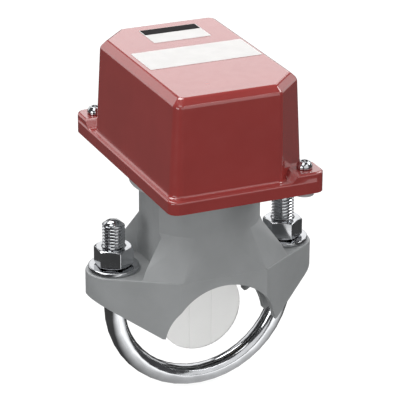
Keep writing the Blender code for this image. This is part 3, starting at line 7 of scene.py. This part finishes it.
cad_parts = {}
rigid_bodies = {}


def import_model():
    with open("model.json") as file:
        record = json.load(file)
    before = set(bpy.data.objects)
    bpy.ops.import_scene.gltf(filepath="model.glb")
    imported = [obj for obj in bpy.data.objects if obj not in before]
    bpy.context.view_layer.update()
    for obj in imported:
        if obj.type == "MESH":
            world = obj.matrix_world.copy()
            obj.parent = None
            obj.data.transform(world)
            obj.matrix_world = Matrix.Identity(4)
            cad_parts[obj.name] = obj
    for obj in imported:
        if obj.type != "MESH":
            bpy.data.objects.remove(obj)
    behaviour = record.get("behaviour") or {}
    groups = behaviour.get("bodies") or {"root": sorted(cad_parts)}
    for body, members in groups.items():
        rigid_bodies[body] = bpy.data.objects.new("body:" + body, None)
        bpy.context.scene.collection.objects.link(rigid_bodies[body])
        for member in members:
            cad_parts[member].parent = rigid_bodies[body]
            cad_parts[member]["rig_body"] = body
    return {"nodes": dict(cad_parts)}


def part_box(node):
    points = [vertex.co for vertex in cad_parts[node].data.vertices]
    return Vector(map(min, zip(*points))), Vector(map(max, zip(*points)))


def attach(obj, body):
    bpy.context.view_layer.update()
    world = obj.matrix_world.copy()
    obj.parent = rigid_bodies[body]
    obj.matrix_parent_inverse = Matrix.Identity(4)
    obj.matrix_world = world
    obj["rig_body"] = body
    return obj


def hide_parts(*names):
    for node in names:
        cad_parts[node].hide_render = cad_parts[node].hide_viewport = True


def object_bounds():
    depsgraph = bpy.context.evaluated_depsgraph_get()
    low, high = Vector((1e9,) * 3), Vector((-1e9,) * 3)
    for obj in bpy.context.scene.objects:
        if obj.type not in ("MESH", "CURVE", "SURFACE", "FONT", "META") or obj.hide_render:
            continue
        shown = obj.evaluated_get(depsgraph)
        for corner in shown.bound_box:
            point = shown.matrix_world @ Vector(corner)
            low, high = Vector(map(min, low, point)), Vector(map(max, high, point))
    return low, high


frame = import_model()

cad_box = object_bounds()

# The saddle, its two ears and the neck are one iron casting in grey enamel.
# Its edges are softly rounded, and the cast skin is slightly pebbled under the enamel.
SAME_POINT = 2e-6
SAME_PLANE = 0.3
SADDLE_ROUNDING = 0.0007


def pick(*pieces):
    """Selects these pieces and nothing else."""
    bpy.ops.object.select_all(action="DESELECT")
    for piece in pieces:
        piece.select_set(True)
    bpy.context.view_layer.objects.active = pieces[0]


def apply_modifier(piece, kind, **settings):
    modifier = piece.modifiers.new(kind.lower(), kind)
    for key, value in settings.items():
        setattr(modifier, key, value)
    pick(piece)
    bpy.ops.object.modifier_apply(modifier=modifier.name)


def clean_copy(node, name):
    """A copy of a solid with its loose triangles joined and its flat faces made whole."""
    piece = bpy.data.objects.new(name, frame["nodes"][node].data.copy())
    bpy.context.scene.collection.objects.link(piece)
    piece.data.materials.clear()
    pick(piece)
    bpy.ops.object.mode_set(mode="EDIT")
    bpy.ops.mesh.select_all(action="SELECT")
    bpy.ops.mesh.remove_doubles(threshold=SAME_POINT)
    bpy.ops.mesh.dissolve_limited(angle_limit=radians(SAME_PLANE))
    bpy.ops.object.mode_set(mode="OBJECT")
    return piece


def even_shading(piece):
    """Lets the large flat faces lead the shading of the small ones beside them."""
    apply_modifier(piece, "WEIGHTED_NORMAL", weight=80, keep_sharp=True)


def soften_edges(piece, width, rings=2, sharper_than=35, smooth_below=40):
    """Rounds the sharp edges and shades the curved faces smooth."""
    if width:
        apply_modifier(
            piece, "BEVEL", width=width, segments=rings, limit_method="ANGLE",
            angle_limit=radians(sharper_than), use_clamp_overlap=True)
    pick(piece)
    bpy.ops.object.shade_smooth_by_angle(angle=radians(smooth_below))
    even_shading(piece)


class Finish:
    """A material made from a shader's own values, with mottling, sheen and relief over them."""

    def __init__(self, name, colour, roughness, metallic=0.0):
        self.name = name
        self.material = bpy.data.materials.new(name)
        self.material.use_nodes = True
        self.nodes = self.material.node_tree.nodes
        self.links = self.material.node_tree.links
        self.shader = self.nodes["Principled BSDF"]
        self.colour = (*colour, 1.0)
        self.set("Base Color", self.colour)
        self.set("Roughness", roughness)
        self.set("Metallic", metallic)
        self.place = self.nodes.new("ShaderNodeTexCoord").outputs["Object"]
        self.bump = None

    def set(self, socket, value):
        self.shader.inputs[socket].default_value = value
        return self

    def noise(self, scale, detail):
        noise = self.nodes.new("ShaderNodeTexNoise")
        noise.inputs["Scale"].default_value = scale
        noise.inputs["Detail"].default_value = detail
        self.links.new(self.place, noise.inputs["Vector"])
        return noise.outputs["Fac"]

    def spread(self, value, low, high, source=(0.35, 0.65)):
        spread = self.nodes.new("ShaderNodeMapRange")
        spread.inputs["From Min"].default_value = source[0]
        spread.inputs["From Max"].default_value = source[1]
        spread.inputs["To Min"].default_value = low
        spread.inputs["To Max"].default_value = high
        self.links.new(value, spread.inputs["Value"])
        return spread.outputs["Result"]

    def mottle(self, scale, darker, lighter):
        """The colour wanders between a darker and a lighter tone."""
        ramp = self.nodes.new("ShaderNodeValToRGB")
        ramp.color_ramp.elements[0].position = 0.36
        ramp.color_ramp.elements[1].position = 0.64
        for element, tone in zip(ramp.color_ramp.elements, (darker, lighter)):
            element.color = (*(part * tone for part in self.colour[:3]), 1.0)
        self.links.new(self.noise(scale, 4.0), ramp.inputs["Fac"])
        self.links.new(ramp.outputs["Color"], self.shader.inputs["Base Color"])
        return self

    def wander(self, scale, low, high):
        """The roughness wanders between two values."""
        value = self.spread(self.noise(scale, 3.0), low, high)
        self.links.new(value, self.shader.inputs["Roughness"])
        return self

    def relief(self, scale, depth, strength):
        """Adds a fine relief to the surface, its depth in metres."""
        bump = self.nodes.new("ShaderNodeBump")
        bump.inputs["Distance"].default_value = depth
        bump.inputs["Strength"].default_value = strength
        self.links.new(self.noise(scale, 2.0), bump.inputs["Height"])
        if self.bump:
            self.links.new(self.bump.outputs["Normal"], bump.inputs["Normal"])
        self.bump = bump
        self.links.new(bump.outputs["Normal"], self.shader.inputs["Normal"])
        return self

    def on(self, piece):
        piece.data.materials.clear()
        piece.data.materials.append(self.material)


def stands_for(piece, node, finish):
    """Gives the piece its finish and the solid's place, on the solid's body."""
    finish.on(piece)
    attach(piece, frame["nodes"][node]["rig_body"])
    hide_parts(node)


grey_enamel = Finish("grey_enamel", (0.375, 0.387, 0.392), 0.40)
grey_enamel.mottle(60, 0.95, 1.05).wander(220, 0.36, 0.50)
grey_enamel.relief(420, 0.00006, 0.5).relief(90, 0.00025, 0.25)

saddle = clean_copy("saddle_casting", "saddle_skin")
soften_edges(saddle, SADDLE_ROUNDING, rings=3, sharper_than=24, smooth_below=30)
stands_for(saddle, "saddle_casting", grey_enamel)

# The paddle is a thin disc of milky nylon that hangs in the water and rolls up for fitting.
# Two brass rivets hold it to the blade of a turned brass stem, which tilts on a steel pin.
SMALL_ROUNDING = 0.00015


def dress(nodes, finish, width=SMALL_ROUNDING, rings=2):
    """Gives each of these solids softened edges and its finish."""
    for node in nodes:
        piece = clean_copy(node, f"{node}_finished")
        soften_edges(piece, width, rings)
        stands_for(piece, node, finish)


white_nylon = Finish("white_nylon", (0.84, 0.84, 0.83), 0.30)
white_nylon.mottle(70, 0.98, 1.01).wander(180, 0.28, 0.34).relief(150, 0.00002, 0.05)
white_nylon.set("Transmission Weight", 0.75).set("IOR", 1.3)
brass = Finish("brass", (0.65, 0.47, 0.20), 0.26, 1.0)
brass.mottle(140, 0.9, 1.06).wander(260, 0.2, 0.34).relief(900, 0.00002, 0.3)
sheet_steel = Finish("sheet_steel", (0.52, 0.52, 0.50), 0.30, 1.0)
sheet_steel.mottle(120, 0.9, 1.06).wander(240, 0.24, 0.38).relief(800, 0.00002, 0.3)
dress(("vane",), white_nylon)
dress(("stem", "vane_rivet_1", "vane_rivet_2"), brass)
dress(("pivot_pin",), sheet_steel)

# A moulded rubber cup seals the stem where it passes through the floor of the neck.
# A pressed steel ring with two ears and two screws clamps it and carries the pin,
# and a steel torsion spring is coiled round the pin.
black_rubber = Finish("black_rubber", (0.022, 0.022, 0.023), 0.62)
black_rubber.mottle(160, 0.85, 1.15).wander(300, 0.55, 0.72).relief(1200, 0.00004, 0.4)
dress(("stem_seal",), black_rubber)
dress(("pivot_bracket", "bracket_screw_1", "bracket_screw_2", "return_spring"), sheet_steel)

# The plate under the mechanism is a bare die casting with a round hub on its underside.
# The hub sits on the neck, and four zinc plated screws go through it into the casting.
PLATE_ROUNDING = 0.00035
bare_casting = Finish("bare_die_casting", (0.60, 0.61, 0.62), 0.38, 0.1)
bare_casting.mottle(80, 0.94, 1.05).wander(260, 0.32, 0.46).relief(700, 0.00004, 0.4)
bright_zinc = Finish("bright_zinc", (0.54, 0.55, 0.565), 0.16, 1.0)
bright_zinc.mottle(150, 0.90, 1.06).wander(300, 0.07, 0.17).relief(900, 0.00002, 0.3)
dress(("base_plate",), bare_casting, PLATE_ROUNDING)
dress(("base_screw_1", "base_screw_2", "base_screw_3", "base_screw_4"), bright_zinc)

# The delay unit is a black phenolic air damper with a brass plunger and a dial to set the delay.
# A stamped steel frame holds it to the plate, and its yoke pushes both switch levers.
black_moulding = Finish("black_moulding", (0.03, 0.03, 0.032), 0.36)
black_moulding.mottle(110, 0.85, 1.2).wander(220, 0.3, 0.46).relief(900, 0.00003, 0.35)
dress(
    ("mechanism_frame", "frame_screw_1", "frame_screw_2", "retard_screw_1", "retard_screw_2",
     "trip_yoke"), sheet_steel)
dress(("retard_housing",), black_moulding)
dress(("retard_plunger",), brass)
dress(("retard_dial",), white_nylon)

# Two snap switches in black phenolic stand beside the delay unit, each held by one screw.
# Each has a steel lever, a nylon button and three brass terminal screws; the earth screw is green.
green_screw = Finish("green_screw", (0.05, 0.28, 0.09), 0.34, 0.4)
green_screw.mottle(150, 0.9, 1.1).wander(260, 0.28, 0.42).relief(900, 0.00002, 0.3)
for side in ("left", "right"):
    dress((f"switch_{side}",), black_moulding)
    dress((f"switch_lever_{side}",), sheet_steel)
    dress((f"switch_button_{side}",), white_nylon)
    dress((f"switch_screw_{side}",), bright_zinc)
    dress((f"terminal_{side}_1", f"terminal_{side}_2", f"terminal_{side}_3"), brass)
dress(("ground_screw",), green_screw)

# The cover is an aluminium die casting in glossy red enamel, with a flat rubber gasket in it.
# It drops over the mechanism onto the plate, and two screws hold it by its ears.
COVER_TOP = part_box("cover")[1][2]
BEVEL_HEIGHT = 0.0033
BEVEL_LINE = 0.0011
SAME_HEIGHT = 1e-5
HOUSING_X = -0.0017
LEDGE = 0.0922
FLANGE_X, FLANGE_Y, FLANGE_CORNER = 0.0401, 0.0626, 0.005
EAR_X, EAR_Y, EAR_BOTTOM, EAR_TOP = 0.0235, 0.046, LEDGE - 0.0008, LEDGE + 0.003
EAR_STEP = 0.0002
CREASE_X, CREASE_Y, CREASE_TOP = 0.0203, 0.0428, LEDGE + 0.0045

red_enamel = Finish("red_enamel", (0.345, 0.046, 0.042), 0.22)
red_enamel.mottle(45, 0.97, 1.03).wander(180, 0.18, 0.26)
red_enamel.relief(900, 0.00001, 0.15).relief(70, 0.0002, 0.03)
red_enamel.set("Coat Weight", 1.0).set("Coat Roughness", 0.06)


def pick_edges(piece, wanted):
    """Selects the edges that fit, by their two ends and the normals of their faces."""
    facing = {}
    for face in piece.data.polygons:
        for key in face.edge_keys:
            facing.setdefault(key, []).append(face.normal.copy())
    pick(piece)
    bpy.ops.object.mode_set(mode="EDIT")
    bpy.ops.mesh.select_mode(type="EDGE")
    bpy.ops.mesh.select_all(action="DESELECT")
    bpy.ops.object.mode_set(mode="OBJECT")
    points = piece.data.vertices
    for edge in piece.data.edges:
        first, second = (points[i].co for i in edge.vertices)
        edge.select = wanted(first, second, facing[edge.key])
    bpy.ops.object.mode_set(mode="EDIT")


def folded(faces, degrees):
    return len(faces) == 2 and faces[0].angle(faces[1]) > radians(degrees)


def bevel_ring(first, second, faces):
    """A ring between the two ends of the solid's round bevel."""
    level = abs(first.z - second.z) < SAME_HEIGHT
    between = COVER_TOP - BEVEL_HEIGHT + 0.0001 < first.z < COVER_TOP - 0.0001
    return level and between and all(normal.z > 0.1 for normal in faces)


def bevel_end(first, second, faces):
    """One of the two sharp lines along the flat bevel."""
    level = abs(first.z - second.z) < SAME_HEIGHT
    at_top = first.z > COVER_TOP - SAME_HEIGHT
    at_side = abs(first.z - COVER_TOP + BEVEL_HEIGHT) < SAME_HEIGHT
    outside = all(normal.z > -0.01 for normal in faces)
    return level and (at_top or at_side) and outside and folded(faces, 25)


def ear_crease(first, second, faces):
    """A crease on a screw ear, where the casting's faces stay crisp."""
    for point in (first, second):
        turn = 1 if point.x > HOUSING_X else -1
        x, y = turn * (point.x - HOUSING_X), -turn * point.y
        if not (x > CREASE_X and y > CREASE_Y and LEDGE - 0.0001 < point.z < CREASE_TOP):
            return False
    return folded(faces, 4)


def level_ear_sides(piece):
    """Brings the sides of both ears out to the flange's side, so no step runs round them."""
    corner_x, corner_y = FLANGE_X - FLANGE_CORNER, FLANGE_Y - FLANGE_CORNER
    for vertex in piece.data.vertices:
        turn = 1 if vertex.co.x > HOUSING_X else -1
        x, y = turn * (vertex.co.x - HOUSING_X), -turn * vertex.co.y
        if not (EAR_BOTTOM < vertex.co.z < EAR_TOP and x > EAR_X and y > EAR_Y):
            continue
        past_x, past_y = max(x - corner_x, 0.0), max(y - corner_y, 0.0)
        reach = hypot(past_x, past_y)
        if FLANGE_CORNER - EAR_STEP < reach < FLANGE_CORNER:
            x += past_x * (FLANGE_CORNER / reach - 1)
            y += past_y * (FLANGE_CORNER / reach - 1)
            vertex.co.x, vertex.co.y = HOUSING_X + turn * x, -turn * y


cover = clean_copy("cover", "cover_enamelled")
level_ear_sides(cover)
pick_edges(cover, bevel_ring)
bpy.ops.mesh.dissolve_edges(use_verts=True, use_face_split=False)
bpy.ops.object.mode_set(mode="OBJECT")
pick_edges(cover, bevel_end)
bpy.ops.mesh.bevel(offset=BEVEL_LINE, segments=4, affect="EDGES", clamp_overlap=False)
bpy.ops.object.mode_set(mode="OBJECT")
soften_edges(cover, 0, smooth_below=32)
pick_edges(cover, ear_crease)
bpy.ops.mesh.mark_sharp()
bpy.ops.object.mode_set(mode="OBJECT")
even_shading(cover)
stands_for(cover, "cover", red_enamel)
dress(("cover_gasket",), black_rubber)
dress(("cover_screw_front", "cover_screw_back"), bright_zinc)

# Two foil plates lie on top of the cover, a small one towards the back and a wide one.
# They are glued on and left bare here, with a plain dark band along the small one.
FOIL = 0.00012
GLUE = 0.00002
BAND_LIFT = 0.00015
label_white = Finish("label_white", (0.74, 0.73, 0.72), 0.6)
label_white.mottle(120, 0.97, 1.02).relief(300, 0.00002, 0.3).set("IOR", 1.06)
label_dark = Finish("label_dark", (0.018, 0.016, 0.017), 0.6)
label_dark.mottle(120, 0.9, 1.1).relief(300, 0.00002, 0.3).set("IOR", 1.12)


def label(name, low, high, lift, corner, finish):
    """A thin plate with rounded corners between two points of the cover's top."""
    place = ((low[0] + high[0]) / 2, (low[1] + high[1]) / 2, COVER_TOP + lift)
    bpy.ops.object.select_all(action="DESELECT")
    bpy.ops.mesh.primitive_plane_add(size=1, location=place)
    piece = bpy.context.object
    piece.name = name
    piece.scale = (high[0] - low[0], high[1] - low[1], 1)
    bpy.ops.object.transform_apply(location=True, rotation=True, scale=True)
    bpy.ops.object.mode_set(mode="EDIT")
    bpy.ops.mesh.select_all(action="SELECT")
    bpy.ops.mesh.bevel(offset=corner, segments=5, affect="VERTICES")
    bpy.ops.mesh.extrude_region_move(TRANSFORM_OT_translate={"value": (0, 0, FOIL)})
    bpy.ops.mesh.select_all(action="SELECT")
    bpy.ops.mesh.normals_make_consistent(inside=False)
    bpy.ops.object.mode_set(mode="OBJECT")
    finish.on(piece)
    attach(piece, "casting")


label("label_small", (-0.0134, 0.0250), (0.0172, 0.0457), GLUE, 0.001, label_white)
label("label_small_band", (-0.0129, 0.0379), (0.0167, 0.0452), BAND_LIFT, 0.0004, label_dark)
label("label_wide", (-0.0304, -0.0109), (0.0284, 0.0146), GLUE, 0.001, label_white)

# A moulded rubber gasket seals the hole in the pipe that the paddle goes through.
# It lies under the saddle, curved like the pipe, and the clamp squeezes it tight.
dress(("pipe_gasket",), black_rubber)

# The clamp is a bent steel rod with a rolled thread on both ends, bright zinc plated.
# It goes round the pipe and up through the ears of the saddle.
THREAD_PITCH = 0.00165
THREAD_CREST = 0.0057
THREAD_ROOT = 0.00485
THREAD_BOTTOM = 0.018
FLANK_ROUND = 0.00005
STUD_X = 0.0461
STUD_TOP = 0.061
STUD_DOME = 0.0024
DOME_RINGS = (
    (0.0, 0.0051), (0.0006, 0.0048), (0.0006, 0.0042), (0.0006, 0.0033), (0.0004, 0.0022),
    (0.0002, 0.0008))
ROD_IN_THREAD = 0.0004
CLEAN_CUT = 1e-7


def thread(x):
    """A rolled thread between two heights, with a plain domed end on top."""
    high = STUD_TOP - STUD_DOME
    one_turn = (
        (THREAD_ROOT, 0.0), (THREAD_ROOT + FLANK_ROUND, 0.18), (THREAD_CREST - FLANK_ROUND, 0.44),
        (THREAD_CREST, 0.50), (THREAD_CREST - FLANK_ROUND, 0.56),
        (THREAD_ROOT + FLANK_ROUND, 0.82), (THREAD_ROOT, 1.0))
    bpy.ops.object.select_all(action="DESELECT")
    bpy.ops.mesh.primitive_plane_add(size=0.001, location=(0, 0, 0))
    piece = bpy.context.object
    piece.name = "thread"
    bpy.ops.object.mode_set(mode="EDIT")
    bpy.ops.mesh.select_mode(type="VERT")
    bpy.ops.mesh.select_all(action="SELECT")
    bpy.ops.mesh.merge(type="CENTER")
    bpy.ops.transform.translate(value=(THREAD_ROOT, 0, high))
    for (radius, height), (next_radius, next_height) in zip(one_turn, one_turn[1:]):
        step = (next_radius - radius, 0, (next_height - height) * THREAD_PITCH)
        bpy.ops.mesh.extrude_vertices_move(TRANSFORM_OT_translate={"value": step})
    bpy.ops.mesh.select_all(action="SELECT")
    turns = int((high - THREAD_BOTTOM) / THREAD_PITCH) + 2
    bpy.ops.mesh.screw(steps=40, turns=turns, center=(0, 0, 0), axis=(0, 0, -1))
    bpy.ops.mesh.select_all(action="SELECT")
    bpy.ops.mesh.remove_doubles(threshold=SAME_POINT)
    bpy.ops.mesh.select_all(action="SELECT")
    bpy.ops.mesh.bisect(
        plane_co=(0, 0, THREAD_BOTTOM), plane_no=(0, 0, 1), clear_inner=True, use_fill=True,
        threshold=CLEAN_CUT)
    bpy.ops.mesh.select_all(action="SELECT")
    bpy.ops.mesh.bisect(
        plane_co=(0, 0, high), plane_no=(0, 0, 1), clear_outer=True, use_fill=True,
        threshold=CLEAN_CUT)
    radius = THREAD_CREST
    for rise, next_radius in DOME_RINGS:
        bpy.ops.mesh.extrude_region_move(TRANSFORM_OT_translate={"value": (0, 0, rise)})
        scale = next_radius / radius
        bpy.ops.transform.resize(value=(scale, scale, 1), center_override=(0, 0, high))
        radius = next_radius
    bpy.ops.mesh.select_all(action="SELECT")
    bpy.ops.mesh.remove_doubles(threshold=SAME_POINT)
    bpy.ops.mesh.normals_make_consistent(inside=False)
    bpy.ops.transform.translate(value=(x, 0, 0))
    bpy.ops.object.mode_set(mode="OBJECT")
    return piece


bolt = clean_copy("u_bolt", "clamp_bolt")
bpy.ops.object.mode_set(mode="EDIT")
bpy.ops.mesh.select_all(action="SELECT")
bpy.ops.mesh.bisect(
    plane_co=(0, 0, THREAD_BOTTOM + ROD_IN_THREAD), plane_no=(0, 0, 1), clear_outer=True,
    use_fill=True, threshold=CLEAN_CUT)
bpy.ops.object.mode_set(mode="OBJECT")
threads = [thread(-STUD_X), thread(STUD_X)]
for piece in (bolt, *threads):
    pick(piece)
    bpy.ops.object.shade_smooth_by_angle(angle=radians(38))
pick(bolt, *threads)
bpy.ops.object.join()
stands_for(bolt, "u_bolt", bright_zinc)

# Each ear is held down by a hexagon nut on a washer, both zinc plated steel.
# The nut's corners are turned off at both ends, and the washer's rims are rounded by stamping.
NUT_ROUNDING = 0.00035
WASHER_ROUNDING = 0.00025
dress(("stud_nut_left", "stud_nut_right"), bright_zinc, NUT_ROUNDING, rings=3)
dress(("washer_left", "washer_right"), bright_zinc, WASHER_ROUNDING, rings=3)

# The camera stands to the left of the front, with a long lens.
# It looks down a little.
CAMERA_PLACE = (-0.42952, -0.97320, 0.50578)
LOOKS_DOWN = 22.568
TURNED_RIGHT = 23.829
ROLLED = 0.213
camera_data = bpy.data.cameras.new("photo_camera")
camera_data.lens = 208.446
camera_data.sensor_width = 36
camera_data.clip_end = 20
camera = bpy.data.objects.new("photo_camera", camera_data)
bpy.context.scene.collection.objects.link(camera)
look = Euler((radians(90 - LOOKS_DOWN), 0, radians(-TURNED_RIGHT))).to_matrix()
look = look @ Matrix.Rotation(radians(ROLLED), 3, "Z")
camera.matrix_world = Matrix.LocRotScale(Vector(CAMERA_PLACE), look, None)
bpy.context.scene.camera = camera
bpy.context.scene.view_settings.view_transform = "Standard"

# The table is a plain sheet that looks white to the camera and through the paddle.
# In the bright metal it shows a painted reflection: a glow painted round the clamp, white close to
# it and dark further away.
TABLE_SIZE = 6
TABLE_GAP = 0.0001
TABLE_GLOW = 0.92
# The centre of the painted glow that only the bright metal mirrors.
PAINTED_GLOW_CENTRE = (0.02, -0.12, 0.0)


def mixed(nodes, links, part, first, second):
    """The first shader, and the second one where the part is 1."""
    mix = nodes.new("ShaderNodeMixShader")
    links.new(part, mix.inputs["Fac"])
    links.new(first, mix.inputs[1])
    links.new(second, mix.inputs[2])
    return mix.outputs["Shader"]


def two_rays(finish, operation, first, second):
    """Joins two kinds of ray into one value between 0 and 1."""
    join = finish.nodes.new("ShaderNodeMath")
    join.operation = operation
    join.use_clamp = True
    finish.links.new(first, join.inputs[0])
    finish.links.new(second, join.inputs[1])
    return join.outputs["Value"]


table_white = Finish("table_white", (0.15, 0.15, 0.15), 0.9).mottle(2, 0.995, 1.0)
rays = table_white.nodes.new("ShaderNodeLightPath").outputs
plain = table_white.shader.outputs["BSDF"]
glow = table_white.nodes.new("ShaderNodeEmission")
glow.inputs["Strength"].default_value = TABLE_GLOW
glowing = table_white.nodes.new("ShaderNodeAddShader")
table_white.links.new(plain, glowing.inputs[0])
table_white.links.new(glow.outputs["Emission"], glowing.inputs[1])
seen = two_rays(table_white, "MAXIMUM", rays["Is Camera Ray"], rays["Is Transmission Ray"])
table_seen = mixed(
    table_white.nodes, table_white.links, seen, plain, glowing.outputs["Shader"])
# Painted reflection: a glow painted on the table round the clamp, seen only in glossy rays, bright
# near it and fading to dark.
distance = table_white.nodes.new("ShaderNodeVectorMath")
distance.operation = "DISTANCE"
distance.inputs[1].default_value = PAINTED_GLOW_CENTRE
table_white.links.new(table_white.place, distance.inputs[0])
painted_reflection_glow = table_white.nodes.new("ShaderNodeEmission")
table_white.links.new(
    table_white.spread(distance.outputs["Value"], 2.0, 0.08, source=(0.06, 0.15)),
    painted_reflection_glow.inputs["Strength"])
in_metal = two_rays(table_white, "SUBTRACT", rays["Is Glossy Ray"], rays["Is Transmission Ray"])
table_white.links.new(
    mixed(
        table_white.nodes, table_white.links, in_metal, table_seen, painted_reflection_glow.outputs["Emission"]),
    table_white.nodes["Material Output"].inputs["Surface"])

bpy.ops.object.select_all(action="DESELECT")
bpy.ops.mesh.primitive_plane_add(
    size=TABLE_SIZE, location=(0, 0, cad_box[0][2] - TABLE_GAP))
table = bpy.context.object
table.name = "table"
bpy.ops.object.transform_apply(location=True, rotation=True, scale=True)
table_white.on(table)

# The room is dim grey, so the lamps do the lighting and the metal mirrors dark walls.
# Only the camera sees it white.
room = bpy.data.worlds.new("surround")
room.use_nodes = True
bpy.context.scene.world = room
room_nodes, room_links = room.node_tree.nodes, room.node_tree.links


def wall(colour):
    shade = room_nodes.new("ShaderNodeBackground")
    shade.inputs["Color"].default_value = (*colour, 1)
    return shade.outputs["Background"]


rays = room_nodes.new("ShaderNodeLightPath").outputs
walls = mixed(
    room_nodes, room_links, rays["Is Glossy Ray"], wall((0.10, 0.10, 0.101)),
    wall((0.09, 0.09, 0.094)))
room_links.new(
    mixed(room_nodes, room_links, rays["Is Camera Ray"], walls, wall((1, 1, 1))),
    room_nodes["World Output"].inputs["Surface"])

# The lamps are softboxes turned to face the cover: a large one above and behind it,
# fill from the left and front, and weak ones that the enamel's edges mirror.
LIT_POINT = Vector((0, 0, 0.1))


def softbox(name, place, size, brightness):
    data = bpy.data.lights.new(name, "AREA")
    data.shape = "RECTANGLE"
    data.size, data.size_y = size
    data.energy = pi * size[0] * size[1] * brightness
    lamp = bpy.data.objects.new(name, data)
    bpy.context.scene.collection.objects.link(lamp)
    lamp.location = place
    lamp.rotation_euler = (LIT_POINT - Vector(place)).to_track_quat("-Z", "Y").to_euler()


softbox("high_back", (-0.21, 0.63, 1.33), (0.78, 0.78), 7.0)
softbox("high_left", (-0.55, -0.45, 1.20), (0.7, 0.7), 2.2)
softbox("high_right", (1.15, -0.25, 0.98), (0.6, 0.6), 6.6)
softbox("low_front", (0.05, -1.15, 0.45), (1.4, 0.9), 1.05)
softbox("low_left", (-1.30, -0.50, 0.35), (0.8, 0.6), 4.2)
softbox("front_line", (0.42, -0.95, 0.98), (0.9, 0.10), 4.0)
softbox("behind_the_top", (0.66, 1.16, 0.68), (0.8, 1.0), 1.35)
softbox("left_rim", (-0.42, 1.20, 0.43), (0.8, 0.85), 1.1)
softbox("right_rim", (1.20, 0.40, 0.42), (0.5, 0.8), 0.9)
